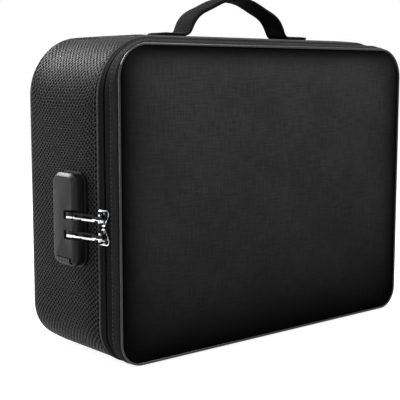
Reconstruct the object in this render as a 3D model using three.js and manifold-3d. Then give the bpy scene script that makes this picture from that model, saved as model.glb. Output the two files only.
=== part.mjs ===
// A soft-sided document case with a zip round three sides, a webbing handle and a combination lock.
// Millimetres, +Z up. X runs along the width with the lock at -X, the lid faces -Y, and the origin
// is at the middle of the base. Depths t are measured from the front welt towards the back.

import * as THREE from 'three';
import { mergeVertices } from 'three/addons/utils/BufferGeometryUtils.js';
import Module from 'manifold-3d';

const wasm = await Module();
wasm.setup();

// Case
const CASE_WIDTH = 360;
const CASE_HEIGHT = 270;
const CASE_DEPTH = 122;
const UPPER_RADIUS = 60; // the soft corners are fullest in the middle and tighter at both ends
const UPPER_RADIUS_FRONT = 28;
const UPPER_RADIUS_BACK = 51;
const LOWER_RADIUS = 37;
const LOWER_RADIUS_FRONT = 21;
const FRONT_DRAW = 8; // the front edge is drawn in this far from the fullest section
const FRONT_BASE_DRAW = 1.3; // and far less underneath, where the case stands
const FRONT_DRAW_REACH = 46;
const BACK_DRAW = 0.7;
const BACK_DRAW_REACH = 24;
const WALL = 5;
const LINING = 1.2;
const GAP = 0.3;
const CORNER_STEPS = 7;

// Panels and welts
const WELT = 2.2;
const PANEL_EDGE = 1.6;
const FRONT_CROWN = 3.8;
const BACK_CROWN = 2;

// Lid rim and zip
const RIM_DEPTH = 6.8;
const ZIP_SHOW = 11;
const ZIP_GROOVE = 1.6;
const TAPE_SINK = 0.6;
const TAPE = 1;
const ZIP_LEAN = 8.5; // degrees
const COIL_WIDTH = 2.6;
const COIL_HEIGHT = 2.6;
const BINDING_WIDTH = 1.5;
const BINDING_PROUD = 0.5;
const BINDING_GRIP = 2; // how far the binding reaches down the edge of the wall
const SPINE_THICKNESS = 1.8;
const END_TAB_TURN = 16; // degrees of corner that each zip end tab covers
const END_TAB_THICKNESS = 1;

// Zip sliders
const SLIDER_SPACING = 15;
const SLIDERS_MIDDLE = 116.2;
const SLIDER_LENGTH = 13.4;
const SLIDER_WIDTH = 9;
const SLIDER_TIP_WIDTH = 5;
const SLIDER_TOP_WIDTH = 12;
const SLIDER_TOP_TIP = 4;
const SLIDER_TOP_SHIFT = 0.6; // the top plate sits this far towards the lid
const SLIDER_LIFT = 0.15; // underside of the top plate above the zip's surface
const SLIDER_TOP = 2;
const SLIDER_SOLE = 1.6;
const SLIDER_PLAY = 0.4;
const BAR_RADIUS = 0.9;
const BAR_LENGTH = 8.4;
const BAR_RISE = 3.6; // from the top plate to the middle of the bar
const SLIDER_TRAVEL = 12;

// Pullers
const PULLER_REACH = 36.5;
const PULLER_WIDTH = 5.5;
const PULLER_THICKNESS = 1.8;
const PULLER_EYE_WALL = 1.5;
const PULLER_EYE_PLAY = 0.5;
const PULLER_EYE_DEPTH = 2.8;
const PULLER_TIP_LENGTH = 8;
const PULLER_TIP_THICKNESS = 3;
const PULLER_WINDOW = 2.2;
const PULLER_SWING = 110;

// Lock
const LOCK_FRONT = 34.9;
const LOCK_WIDTH = 33.7;
const LOCK_HEIGHT = 76;
const LOCK_MIDDLE = 119.9;
const LOCK_CORNER = 9;
const LOCK_BASE = 2;
const LOCK_BASE_LIP = 1.2;
const HOUSING_HEIGHT = 9.7;
const HOUSING_WALL = 1.6;
const SLOT_PLAY = 0.35;
const SLOT_END_PLAY = 0.5;
const WELL_WALL = 1;
const DIAL_RADIUS = 3.9;
const DIAL_THICKNESS = 7;
const DIAL_PITCH = 14.2;
const DIALS_MIDDLE = 122.5;
const DIAL_FACES = 10;
const DIAL_PROUD = 0.45;
const SPINDLE_RADIUS = 0.9;
const RUNNING_PLAY = 0.3;
const LUG_THICKNESS = 2;
const LATCH_TRAVEL = 2;
const LATCH_PLATE = 1.4;
const LATCH_POST = 1.2;
const PRONG_RADIUS = 0.6;
const PRONG_HOLE = 1;
const BUTTON_WIDTH = 18;
const BUTTON_HEIGHT = 4.2;
const BUTTON_MIDDLE = 86.6;
const BUTTON_PROUD = 0.5;
const BUTTON_RIBS = 7;
const BUTTON_RIB_PITCH = 2.3;
const SPRING_WIRE = 0.5;
const BACKPLATE = 1.5;
const SCREW_RADIUS = 1.4;
const SCREW_HEAD_RADIUS = 2.7;
const SCREW_HEAD = 1.6;
const SCREW_INSET = 7;

// Handle
const STRAP_WIDTH = 25;
const STRAP_THICKNESS = 2.6;
const GRIP_THICKNESS = 3.8; // the arch is webbing folded double
const STRAP_TAB = 30;
const HANDLE_SPAN = 115;
const HANDLE_RISE = 33.4;
const HANDLE_DEPTH = 61.5; // depth t of the strap's middle
const ANCHOR_THICKNESS = 1.4;
const ANCHOR_MARGIN = 5;

// Inside
const DIVIDER_DEPTH = 76;
const DIVIDER_THICKNESS = 3;
const DIVIDER_HEIGHT = 200;
const SLEEVE_SHEET = 1;
const SLEEVE_WIDTH = 280;
const SLEEVE_HEIGHT = 120;
const SLEEVE_BASE = 40;
const SLEEVE_CORNER = 8;
const POCKET_WIDTH = 260;
const POCKET_HEIGHT = 160;
const POCKET_DEPTH = 13;
const POCKET_SHEET = 1.2;
const LID_POCKET_WIDTH = 280;
const LID_POCKET_HEIGHT = 150;
const LID_POCKET_DEPTH = 2.6;

// Depth stations, front to back
const rimStart = WELT + GAP;
const rimEnd = rimStart + RIM_DEPTH;
const zipStart = rimEnd + GAP;
const zipEnd = zipStart + ZIP_SHOW;
const zipMiddle = (zipStart + zipEnd) / 2;
const bindingStart = zipEnd + GAP;
const bindingEnd = bindingStart + BINDING_WIDTH;
const wallStart = bindingEnd + GAP;
const backWeltMiddle = CASE_DEPTH - WELT / 2;
const wallEnd = CASE_DEPTH - WELT - GAP;
const backPanelInner = wallEnd;
const liningFloor = backPanelInner - GAP - LINING;
const lidLiningFloor = rimStart + LINING;

// How near depth t is to the front and to the back edge, from 0 to 1.
const nearFront = (t) => THREE.MathUtils.clamp(1 - t / FRONT_DRAW_REACH, 0, 1) ** 2;
const nearBack = (t) => THREE.MathUtils.clamp(1 - (CASE_DEPTH - t) / BACK_DRAW_REACH, 0, 1) ** 2;

// How far the outside surface lies in from the fullest outline at depth t.
const draw = (t) => FRONT_DRAW * nearFront(t) + BACK_DRAW * nearBack(t);
const baseDraw = (t) => FRONT_BASE_DRAW * nearFront(t) + BACK_DRAW * nearBack(t);

// Radius of an upper or a lower corner at depth t.
function cornerRadius(t, signZ) {
  if (signZ < 0) return LOWER_RADIUS - (LOWER_RADIUS - LOWER_RADIUS_FRONT) * nearFront(t);
  return UPPER_RADIUS
    - (UPPER_RADIUS - UPPER_RADIUS_FRONT) * nearFront(t)
    - (UPPER_RADIUS - UPPER_RADIUS_BACK) * nearBack(t);
}

const place = (x, t, z) => new THREE.Vector3(x, t - CASE_DEPTH / 2, z);

// Materials
const finish = (color, roughness, metalness = 0) => (
  new THREE.MeshStandardMaterial({ color, roughness, metalness })
);
const finishes = {
  weave: () => finish(0x1c1c1d, 0.85),
  panel: () => finish(0x161617, 0.8),
  plain: () => finish(0x202022, 0.8),
  welt: () => finish(0x0b0b0c, 0.35),
  binding: () => finish(0x3a3a3c, 0.6),
  tape: () => finish(0x101011, 0.9),
  coil: () => finish(0x0c0c0d, 0.5),
  lining: () => finish(0x55585c, 0.6),
  board: () => finish(0x2a2a2c, 0.8),
  mesh: () => finish(0x303134, 0.9),
  strap: () => finish(0x141415, 0.75),
  plastic: () => finish(0x0d0d0e, 0.3),
  dial: () => finish(0x17171a, 0.4),
  chrome: () => finish(0xd6d8da, 0.18, 1),
  steel: () => finish(0x9a9ca0, 0.35, 1),
};

// The flat closing faces of a ring, turned the way that its points run.
function capFaces(ring, first, turned) {
  const normal = new THREE.Vector3();
  for (let i = 0; i < ring.length; i += 1) {
    const a = ring[i];
    const b = ring[(i + 1) % ring.length];
    normal.x += (a.y - b.y) * (a.z + b.z);
    normal.y += (a.z - b.z) * (a.x + b.x);
    normal.z += (a.x - b.x) * (a.y + b.y);
  }
  normal.normalize();
  const guide = Math.abs(normal.z) < 0.9 ? new THREE.Vector3(0, 0, 1) : new THREE.Vector3(1, 0, 0);
  const across = new THREE.Vector3().crossVectors(guide, normal).normalize();
  const up = new THREE.Vector3().crossVectors(normal, across);
  const flat = ring.map((p) => new THREE.Vector2(p.dot(across), p.dot(up)));
  const faces = THREE.ShapeUtils.triangulateShape(flat, []);
  return faces.flatMap(([a, b, c]) => (
    turned ? [first + a, first + c, first + b] : [first + a, first + b, first + c]
  ));
}

// A closed body through rings of points. An endless one joins its last ring to its first.
function loft(rings, endless = false) {
  const count = rings[0].length;
  const index = [];
  const spans = endless ? rings.length : rings.length - 1;
  for (let i = 0; i < spans; i += 1) {
    const a = i * count;
    const b = ((i + 1) % rings.length) * count;
    for (let j = 0; j < count; j += 1) {
      const k = (j + 1) % count;
      index.push(a + j, a + k, b + k, a + j, b + k, b + j);
    }
  }
  if (!endless) {
    index.push(...capFaces(rings[0], 0, true));
    index.push(...capFaces(rings[rings.length - 1], (rings.length - 1) * count, false));
  }
  const geometry = new THREE.BufferGeometry();
  geometry.setAttribute('position', new THREE.BufferAttribute(
    new Float32Array(rings.flat().flatMap((p) => [p.x, p.y, p.z])),
    3,
  ));
  geometry.setIndex(index);
  return outward(geometry);
}

// Turns every face of a closed body outwards.
function outward(geometry) {
  const p = geometry.getAttribute('position');
  const index = Array.from(geometry.getIndex().array);
  const [a, b, c] = [new THREE.Vector3(), new THREE.Vector3(), new THREE.Vector3()];
  let volume = 0;
  for (let i = 0; i < index.length; i += 3) {
    a.fromBufferAttribute(p, index[i]);
    b.fromBufferAttribute(p, index[i + 1]);
    c.fromBufferAttribute(p, index[i + 2]);
    volume += a.dot(b.cross(c));
  }
  if (volume < 0) {
    index.reverse();
    geometry.setIndex(index);
  }
  return geometry;
}

// Solids for cutting and joining
function solid(geometry) {
  const bare = geometry.clone();
  bare.deleteAttribute('normal');
  bare.deleteAttribute('uv');
  const merged = mergeVertices(bare, 1e-4);
  return new wasm.Manifold(new wasm.Mesh({
    numProp: 3,
    vertProperties: new Float32Array(merged.getAttribute('position').array),
    triVerts: new Uint32Array(merged.getIndex().array),
  }));
}

function surface(manifold) {
  const mesh = manifold.getMesh();
  const geometry = new THREE.BufferGeometry();
  geometry.setAttribute('position', new THREE.BufferAttribute(new Float32Array(mesh.vertProperties), 3));
  geometry.setIndex(Array.from(mesh.triVerts));
  return geometry;
}

const join = (...parts) => parts.reduce((a, b) => a.add(b));

// A block between two corners, in the case's own frame with depths t.
function block(x0, x1, t0, t1, z0, z1) {
  const geometry = new THREE.BoxGeometry(Math.abs(x1 - x0), t1 - t0, z1 - z0);
  const middle = place((x0 + x1) / 2, (t0 + t1) / 2, (z0 + z1) / 2);
  geometry.translate(middle.x, middle.y, middle.z);
  return solid(geometry);
}

// A round bar from a point along X, Y or Z.
function bar(axis, radius, length, from, sides = 16) {
  const geometry = new THREE.CylinderGeometry(radius, radius, length, sides);
  geometry.translate(0, length / 2, 0);
  if (axis === 'x') geometry.rotateZ(-Math.PI / 2);
  if (axis === 'z') geometry.rotateX(Math.PI / 2);
  geometry.translate(from.x, from.y, from.z);
  return solid(geometry);
}

// Stations round the case: which corner each belongs to, and its outward direction
const station = (signX, signZ, degrees, stepX = 0, stepZ = 0) => ({
  signX,
  signZ,
  nx: Math.cos(THREE.MathUtils.degToRad(degrees)),
  nz: Math.sin(THREE.MathUtils.degToRad(degrees)),
  stepX,
  stepZ,
});
const corner = (signX, signZ, fromDegrees) => (
  Array.from({ length: CORNER_STEPS + 1 }, (_, i) => (
    station(signX, signZ, fromDegrees + (90 * i) / CORNER_STEPS)
  ))
);
const topRight = corner(1, 1, 0);
const topLeft = corner(-1, 1, 90);
const bottomLeft = corner(-1, -1, 180);
const bottomRight = corner(1, -1, 270);
const wholeOutline = [...topRight, ...topLeft, ...bottomLeft, ...bottomRight];
const zipOutline = wholeOutline; // from the top of the spine round to its foot
const leftOutline = [...topLeft.slice(1), ...bottomLeft];
const rightOutline = [...bottomRight, ...topRight.slice(0, -1)];

// A station's point at depth t. The inset counts from the fullest outline, as draw does.
function at(s, t, inset) {
  const radius = cornerRadius(t, s.signZ);
  const side = CASE_WIDTH / 2 - draw(t) - radius;
  const end = s.signZ > 0 ? CASE_HEIGHT - draw(t) - radius : baseDraw(t) + radius;
  const reach = radius - (inset - draw(t));
  return place(s.signX * side + s.nx * reach + s.stepX, t, end + s.nz * reach + s.stepZ);
}

// A strip that follows the outline, with its section given as points of depth and inset.
const follow = (stations, section, endless = false) => (
  loft(stations.map((s) => section.map(([t, inset]) => at(s, t, inset))), endless)
);

// A straight strip along one side, from one station to another.
const along = (stations, section) => follow(stations, section);

// A body through whole outlines, each level given as a depth and an inset.
const stack = (levels) => (
  loft(levels.map(([t, inset, scale = 1]) => wholeOutline.map((s) => {
    const p = at(s, t, inset);
    p.x *= scale;
    p.z = CASE_HEIGHT / 2 + (p.z - CASE_HEIGHT / 2) * scale;
    return p;
  })))
);

// Section of a padded wall between two depths, which follows the drawn-in surface.
function wallSection(start, end, outer, thickness) {
  const bends = [FRONT_DRAW_REACH * 0.6, FRONT_DRAW_REACH * 0.8, FRONT_DRAW_REACH];
  bends.push(CASE_DEPTH - BACK_DRAW_REACH, CASE_DEPTH - BACK_DRAW_REACH / 2);
  const depths = [start, ...bends.filter((t) => t > start + 1 && t < end - 1), end];
  const outside = depths.map((t) => [t, draw(t) + outer]);
  const inside = depths.map((t) => [t, draw(t) + outer + thickness]).reverse();
  return [...outside, ...inside];
}

function roundSection(middle, inset, radius, sides = 8) {
  return Array.from({ length: sides }, (_, i) => {
    const angle = ((i + 0.5) / sides) * Math.PI * 2;
    return [middle + radius * Math.cos(angle), inset + radius * Math.sin(angle)];
  });
}

const part = new THREE.Group();
function add(name, geometry, material, parent = part) {
  const mesh = new THREE.Mesh(geometry, material);
  mesh.name = name;
  parent.add(mesh);
  return mesh;
}

// Body walls. Woven side walls wrap the corners, and plain strips close the top and the base.
// The top strip reaches down over the last step of both upper corners.
const bodyWall = wallSection(wallStart, wallEnd, 0, WALL);
const seamDegrees = 90 / CORNER_STEPS;
const seamAngle = THREE.MathUtils.degToRad(seamDegrees);
const seamStepX = GAP * Math.cos(seamAngle);
const seamStepZ = GAP * Math.sin(seamAngle);
const topStrip = [
  station(1, 1, 90 - seamDegrees, -seamStepX, seamStepZ),
  station(1, 1, 90),
  station(-1, 1, 90),
  station(-1, 1, 90 + seamDegrees, seamStepX, seamStepZ),
];
const baseStrip = [station(-1, -1, 270, GAP), station(1, -1, 270, -GAP)];

// Lock places
const lockSurface = -CASE_WIDTH / 2;
const lockMiddleT = LOCK_FRONT + LOCK_WIDTH / 2;
const lockBaseInner = lockSurface - GAP;
const lockBaseOuter = lockBaseInner - LOCK_BASE;
const housingInner = lockBaseOuter - GAP;
const housingOuter = housingInner - HOUSING_HEIGHT;
const housingRoof = housingOuter + HOUSING_WALL;
const screwPlaces = [1, -1].map((side) => LOCK_MIDDLE + side * (LOCK_HEIGHT / 2 - SCREW_INSET));
const liningInset = WALL + GAP;
const backplateEdge = LOCK_FRONT + 4;
const backplateOuter = lockSurface + draw(backplateEdge) + liningInset + LINING + GAP;
const backplateInner = backplateOuter + BACKPLATE;

const screwHoles = (radius, x0, x1) => join(...screwPlaces.map((z) => (
  bar('x', radius, x1 - x0, place(x0, lockMiddleT, z), 12)
)));

add('back_panel', stack([
  [backPanelInner, BACK_DRAW + WELT + GAP],
  [CASE_DEPTH - 0.8, BACK_DRAW + WELT + GAP],
  [CASE_DEPTH + BACK_CROWN * 0.45, BACK_DRAW + WELT + GAP, 0.94],
  [CASE_DEPTH + BACK_CROWN * 0.85, BACK_DRAW + WELT + GAP, 0.75],
  [CASE_DEPTH + BACK_CROWN, BACK_DRAW + WELT + GAP, 0.45],
]), finishes.panel());

add('back_welt', follow(
  wholeOutline,
  roundSection(backWeltMiddle, BACK_DRAW + WELT / 2, WELT / 2),
  true,
), finishes.welt());

const leftWall = solid(follow(leftOutline, bodyWall));
const wallScrewHoles = screwHoles(SCREW_RADIUS + GAP, lockSurface - 1, lockSurface + WALL + 1);
add('lock_side_wall', surface(leftWall.subtract(wallScrewHoles)), finishes.weave());
add('spine_side_wall', follow(rightOutline, bodyWall), finishes.weave());
add('top_wall', along(topStrip, bodyWall), finishes.plain());
add('base_wall', along(baseStrip, bodyWall), finishes.plain());

const liningOuter = wallSection(wallStart, liningFloor + LINING, liningInset, LINING);
const half = liningOuter.length / 2;
const liningLevels = [
  ...liningOuter.slice(half).filter(([t]) => t < liningFloor - 1).map(([t, d]) => [t, d]),
];
const bodyLining = stack([
  [liningFloor, draw(liningFloor) + liningInset + LINING],
  ...liningLevels,
  ...liningOuter.slice(0, half),
]);
const liningScrewHoles = screwHoles(SCREW_RADIUS + GAP, lockSurface + WALL, backplateInner);
add('body_lining', surface(solid(bodyLining).subtract(liningScrewHoles)), finishes.lining());

const bindingDepth = (bindingStart + bindingEnd) / 2;
const bindingInset = draw(bindingDepth);
add('body_edge_binding', follow(wholeOutline, [
  [bindingStart, bindingInset - BINDING_PROUD * 0.4],
  [bindingDepth, bindingInset - BINDING_PROUD],
  [bindingEnd, bindingInset - BINDING_PROUD * 0.4],
  [bindingEnd, bindingInset + BINDING_GRIP],
  [bindingStart, bindingInset + BINDING_GRIP],
], true), finishes.binding());

// Zip: two tapes with a coil each, open along the middle groove, and a cloth hinge on the spine.
// The zip's own frame leans a little, so that the lid's tape can leave the sliders forwards.
const zipLean = THREE.MathUtils.degToRad(ZIP_LEAN);
const grooveHalf = ZIP_GROOVE / 2;
const zipSpot = (out, back) => [
  zipMiddle + back * Math.cos(zipLean) - out * Math.sin(zipLean),
  draw(zipMiddle) - out * Math.cos(zipLean) - back * Math.sin(zipLean),
];
const tapeUnder = TAPE_SINK + TAPE;
const tapeSection = (side, farEdge) => [
  zipSpot(-TAPE_SINK, side * grooveHalf),
  [farEdge, draw(farEdge) + TAPE_SINK],
  [farEdge, draw(farEdge) + tapeUnder],
  zipSpot(-tapeUnder, side * grooveHalf),
];
const coilMiddle = tapeUnder + GAP + COIL_HEIGHT / 2;
const coilSection = (side) => Array.from({ length: 6 }, (_, i) => {
  const angle = ((i + 0.5) / 6) * Math.PI * 2;
  const half = (COIL_WIDTH / 2) * Math.cos(angle) / Math.cos(Math.PI / 6);
  return zipSpot(
    (COIL_HEIGHT / 2) * Math.sin(angle) - coilMiddle,
    side * (grooveHalf + COIL_WIDTH / 2) + half,
  );
});
add('body_zip_tape', follow(zipOutline, tapeSection(1, zipEnd)), finishes.tape());
add('lid_zip_tape', follow(zipOutline, tapeSection(-1, zipStart)), finishes.tape());
add('body_zip_coil', follow(zipOutline, coilSection(1)), finishes.coil());
add('lid_zip_coil', follow(zipOutline, coilSection(-1)), finishes.coil());

// The cloth hinge is cut square at both ends, below the lowest point of each corner.
const spineSection = [
  [zipStart, draw(zipStart) + GAP],
  [zipMiddle, draw(zipMiddle) + GAP],
  [zipEnd, draw(zipEnd) + GAP],
  [zipEnd, draw(zipEnd) + GAP + SPINE_THICKNESS],
  [zipStart, draw(zipStart) + GAP + SPINE_THICKNESS],
];
const spineRings = [-1, 1].map((side) => {
  const z = at(station(1, side, 0), zipEnd, 0).z - side * GAP;
  return spineSection.map(([t, inset]) => place(CASE_WIDTH / 2 - inset, t, z));
});
add('spine_hinge', loft(spineRings), finishes.plain());

// A small tab is sewn over each end of the zip, on the body's tape.
const turnedStations = (fromDegrees, signZ) => (
  [0, 0.5, 1].map((share) => station(1, signZ, fromDegrees + share * END_TAB_TURN))
);
const endTabStart = zipMiddle + grooveHalf + GAP;
const endTabEnd = zipEnd - GAP;
const endTabSection = [
  [endTabStart, draw(endTabStart) + TAPE_SINK - GAP - END_TAB_THICKNESS],
  [endTabEnd, draw(endTabEnd) + TAPE_SINK - GAP - END_TAB_THICKNESS],
  [endTabEnd, draw(endTabEnd) + TAPE_SINK - GAP],
  [endTabStart, draw(endTabStart) + TAPE_SINK - GAP],
];
add('zip_end_tab_top', follow(turnedStations(0, 1), endTabSection), finishes.plain());
add('zip_end_tab_base', follow(turnedStations(-END_TAB_TURN, -1), endTabSection), finishes.plain());

// Lid: a padded front panel, its welt, a shallow rim and a lining.
const frontInset = FRONT_DRAW + WELT + GAP;
add('lid_panel', stack([
  [WELT, frontInset],
  [WELT - PANEL_EDGE, frontInset],
  [WELT - PANEL_EDGE - FRONT_CROWN * 0.42, frontInset, 0.95],
  [WELT - PANEL_EDGE - FRONT_CROWN * 0.78, frontInset, 0.82],
  [WELT - PANEL_EDGE - FRONT_CROWN * 0.95, frontInset, 0.6],
  [WELT - PANEL_EDGE - FRONT_CROWN, frontInset, 0.3],
]), finishes.panel());
add('lid_welt', follow(
  wholeOutline,
  roundSection(WELT / 2, FRONT_DRAW + WELT / 2, WELT / 2),
  true,
), finishes.welt());
add('lid_rim', follow(wholeOutline, [
  [rimStart, draw(rimStart)],
  [rimEnd, draw(rimEnd)],
  [rimEnd, draw(rimEnd) + WALL],
  [rimStart, draw(rimStart) + WALL],
], true), finishes.plain());
add('lid_lining', stack([
  [lidLiningFloor, draw(lidLiningFloor) + liningInset + LINING],
  [rimEnd, draw(rimEnd) + liningInset + LINING],
  [rimEnd, draw(rimEnd) + liningInset],
  [rimStart, draw(rimStart) + liningInset],
]), finishes.lining());

// Pockets are shallow trays of sheet, open at the top.
function pocket(width, height, t0, t1, sheet, base, openToBack) {
  const outer = block(-width / 2, width / 2, t0, t1, base, base + height);
  const clear = sheet * 2;
  const inner = block(
    -width / 2 + sheet,
    width / 2 - sheet,
    openToBack ? t0 + sheet : t0 - clear,
    openToBack ? t1 + clear : t1 - sheet,
    base + sheet,
    base + height + clear,
  );
  return surface(outer.subtract(inner));
}
const lidPocketStart = lidLiningFloor + GAP;
const lidPocketBase = (CASE_HEIGHT - LID_POCKET_HEIGHT) / 3;
add('lid_pocket', pocket(
  LID_POCKET_WIDTH,
  LID_POCKET_HEIGHT,
  lidPocketStart,
  lidPocketStart + LID_POCKET_DEPTH,
  SLEEVE_SHEET,
  lidPocketBase,
  false,
), finishes.mesh());
const liningBase = liningInset + LINING;
const pocketBack = liningFloor - GAP;
add('document_pocket', pocket(
  POCKET_WIDTH,
  POCKET_HEIGHT,
  pocketBack - POCKET_DEPTH,
  pocketBack,
  POCKET_SHEET,
  BACK_DRAW + liningBase + GAP,
  true,
), finishes.board());

// Points round a rectangle with rounded corners, for flat plates and for the lock.
function rounded(a0, a1, b0, b1, radius, steps = 4) {
  const corners = [
    [a1 - radius, b1 - radius, 0],
    [a0 + radius, b1 - radius, 90],
    [a0 + radius, b0 + radius, 180],
    [a1 - radius, b0 + radius, 270],
  ];
  return corners.flatMap(([ca, cb, from]) => Array.from({ length: steps + 1 }, (_, i) => {
    const angle = THREE.MathUtils.degToRad(from + (90 * i) / steps);
    return [ca + radius * Math.cos(angle), cb + radius * Math.sin(angle)];
  }));
}
const plateAcross = (points, t) => points.map(([x, z]) => place(x, t, z));

// Divider: a stiff padded leaf that stands across the body and fits the lining.
const dividerEdge = liningBase + GAP;
const dividerOutline = [
  [CASE_WIDTH / 2 - dividerEdge, DIVIDER_HEIGHT],
  [-CASE_WIDTH / 2 + dividerEdge, DIVIDER_HEIGHT],
  ...[...bottomLeft, ...bottomRight].map((s) => {
    const p = at(s, DIVIDER_DEPTH, dividerEdge);
    return [p.x, p.z];
  }),
];
add('padded_divider', loft([
  plateAcross(dividerOutline, DIVIDER_DEPTH),
  plateAcross(dividerOutline, DIVIDER_DEPTH + DIVIDER_THICKNESS),
]), finishes.board());
const sleeveOutline = rounded(
  -SLEEVE_WIDTH / 2,
  SLEEVE_WIDTH / 2,
  SLEEVE_BASE,
  SLEEVE_BASE + SLEEVE_HEIGHT,
  SLEEVE_CORNER,
);
add('divider_sleeve', loft([
  plateAcross(sleeveOutline, DIVIDER_DEPTH - GAP - SLEEVE_SHEET),
  plateAcross(sleeveOutline, DIVIDER_DEPTH - GAP),
]), finishes.mesh());

// Handle: one length of webbing, its ends turned out flat and sewn to the top.
const strapBase = CASE_HEIGHT + GAP + STRAP_THICKNESS / 2;
const legFoot = HANDLE_SPAN / 2;
const strapHalf = [
  [legFoot + STRAP_TAB, 0],
  [legFoot + STRAP_TAB * 0.5, 0],
  [legFoot + 5, 0.3],
  [legFoot + 0.9, 3],
  [legFoot - 1.3, 7.2],
  [legFoot - 4, 11.8],
  [legFoot - 8, 16.3],
  [legFoot - 13.2, 19.9],
  [legFoot - 23.5, 24.4],
  [legFoot - 41.5, HANDLE_RISE - 1.8],
];
const strapPoints = [
  ...strapHalf.map(([x, z]) => [-x, z]),
  [0, HANDLE_RISE],
  ...strapHalf.map(([x, z]) => [x, z]).reverse(),
].map(([x, z]) => place(x, HANDLE_DEPTH, strapBase + z));
const strapCurve = new THREE.CatmullRomCurve3(strapPoints, false, 'centripetal');
const STRAP_STEPS = 64;
const strapRings = Array.from({ length: STRAP_STEPS + 1 }, (_, i) => {
  const p = strapCurve.getPointAt(i / STRAP_STEPS);
  const along0 = strapCurve.getTangentAt(i / STRAP_STEPS);
  const flatEnd = i === 0 || i === STRAP_STEPS;
  const normal = flatEnd ? new THREE.Vector3(0, 0, 1) : new THREE.Vector3(-along0.z, 0, along0.x);
  const folded = THREE.MathUtils.smoothstep(p.z - strapBase, 1, 14);
  const height = THREE.MathUtils.lerp(STRAP_THICKNESS, GRIP_THICKNESS, folded) / 2;
  const side = STRAP_WIDTH / 2;
  const edge = height * 0.6;
  return [
    [-side, -height + edge],
    [-side + edge, -height],
    [side - edge, -height],
    [side, -height + edge],
    [side, height - edge],
    [side - edge, height],
    [-side + edge, height],
    [-side, height - edge],
  ].map(([y, n]) => new THREE.Vector3(p.x + normal.x * n, p.y + y, p.z + normal.z * n));
});
add('handle_strap', loft(strapRings), finishes.strap());
const anchorTop = CASE_HEIGHT - liningInset - LINING - GAP;
for (const [name, side] of [['handle_anchor_lock_side', -1], ['handle_anchor_spine_side', 1]]) {
  const outerEnd = side * (legFoot + STRAP_TAB + ANCHOR_MARGIN);
  const innerEnd = side * (legFoot - ANCHOR_MARGIN);
  add(name, surface(block(
    Math.min(outerEnd, innerEnd),
    Math.max(outerEnd, innerEnd),
    HANDLE_DEPTH - STRAP_WIDTH / 2 - ANCHOR_MARGIN,
    HANDLE_DEPTH + STRAP_WIDTH / 2 + ANCHOR_MARGIN,
    anchorTop - ANCHOR_THICKNESS,
    anchorTop,
  )), finishes.board());
}

// Zip sliders. Each has its own frame: x out of the zip, y towards the lid, z up.
const zipPoint = place(-CASE_WIDTH / 2 + draw(zipMiddle), zipMiddle, 0);
const coilBottom = -(coilMiddle + COIL_HEIGHT / 2);
const soleTop = coilBottom - SLIDER_PLAY;
const soleBottom = soleTop - SLIDER_SOLE;
const plateBottom = SLIDER_LIFT;
const plateTop = plateBottom + SLIDER_TOP;
const barMiddle = plateTop + BAR_RISE;

const local = (x0, x1, y0, y1, z0, z1) => {
  const geometry = new THREE.BoxGeometry(x1 - x0, y1 - y0, z1 - z0);
  geometry.translate((x0 + x1) / 2, (y0 + y1) / 2, (z0 + z1) / 2);
  return solid(geometry);
};

// A plate shaped like a shield, broad at one end, with its narrow end towards the other slider.
function shieldPlate(x0, x1, broadEnd, width, tipWidth, shift = 0) {
  const widthAt = (share) => {
    const taper = THREE.MathUtils.smoothstep(share, 0.25, 1);
    return THREE.MathUtils.lerp(width, tipWidth, taper) / 2;
  };
  const shares = [0, 0.08, 0.25, 0.5, 0.75, 0.92, 1];
  const trim = [0.72, 0.94, 1, 1, 1, 0.92, 0.6];
  const right = shares.map((share, i) => [
    widthAt(share) * trim[i],
    broadEnd * SLIDER_LENGTH * (0.5 - share),
  ]);
  const left = right.map(([y, z]) => [-y, z]).reverse();
  const ring = (x) => [...right, ...left].map(([y, z]) => new THREE.Vector3(x, y + shift, z));
  return solid(loft([ring(x0), ring(x1)]));
}

function slider(broadEnd) {
  const postHalf = ZIP_GROOVE / 2 - GAP;
  const flangeOuter = -SLIDER_WIDTH / 2 - GAP * 0.3;
  const flangeInner = -(ZIP_GROOVE / 2 + COIL_WIDTH + SLIDER_PLAY);
  const foot = BAR_LENGTH / 2;
  const barEnd = new THREE.Vector3(barMiddle, 0, -foot);
  const flangeTop = -tapeUnder - SLIDER_PLAY;
  const flangeHalf = SLIDER_LENGTH * 0.36;
  return surface(join(
    shieldPlate(plateBottom, plateTop, broadEnd, SLIDER_TOP_WIDTH, SLIDER_TOP_TIP, SLIDER_TOP_SHIFT),
    shieldPlate(soleBottom, soleTop, broadEnd, SLIDER_WIDTH, SLIDER_TIP_WIDTH),
    local(soleBottom, plateBottom + SLIDER_TOP / 2, -postHalf, postHalf, -3, 3),
    local(soleBottom, flangeTop, flangeOuter, flangeInner, -flangeHalf, flangeHalf),
    bar('z', BAR_RADIUS, BAR_LENGTH, barEnd, 10),
    local(plateTop - 0.2, barMiddle + BAR_RADIUS, -BAR_RADIUS, BAR_RADIUS, -foot - 1.2, -foot + 0.6),
    local(plateTop - 0.2, barMiddle + BAR_RADIUS, -BAR_RADIUS, BAR_RADIUS, foot - 0.6, foot + 1.2),
  ));
}

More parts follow.
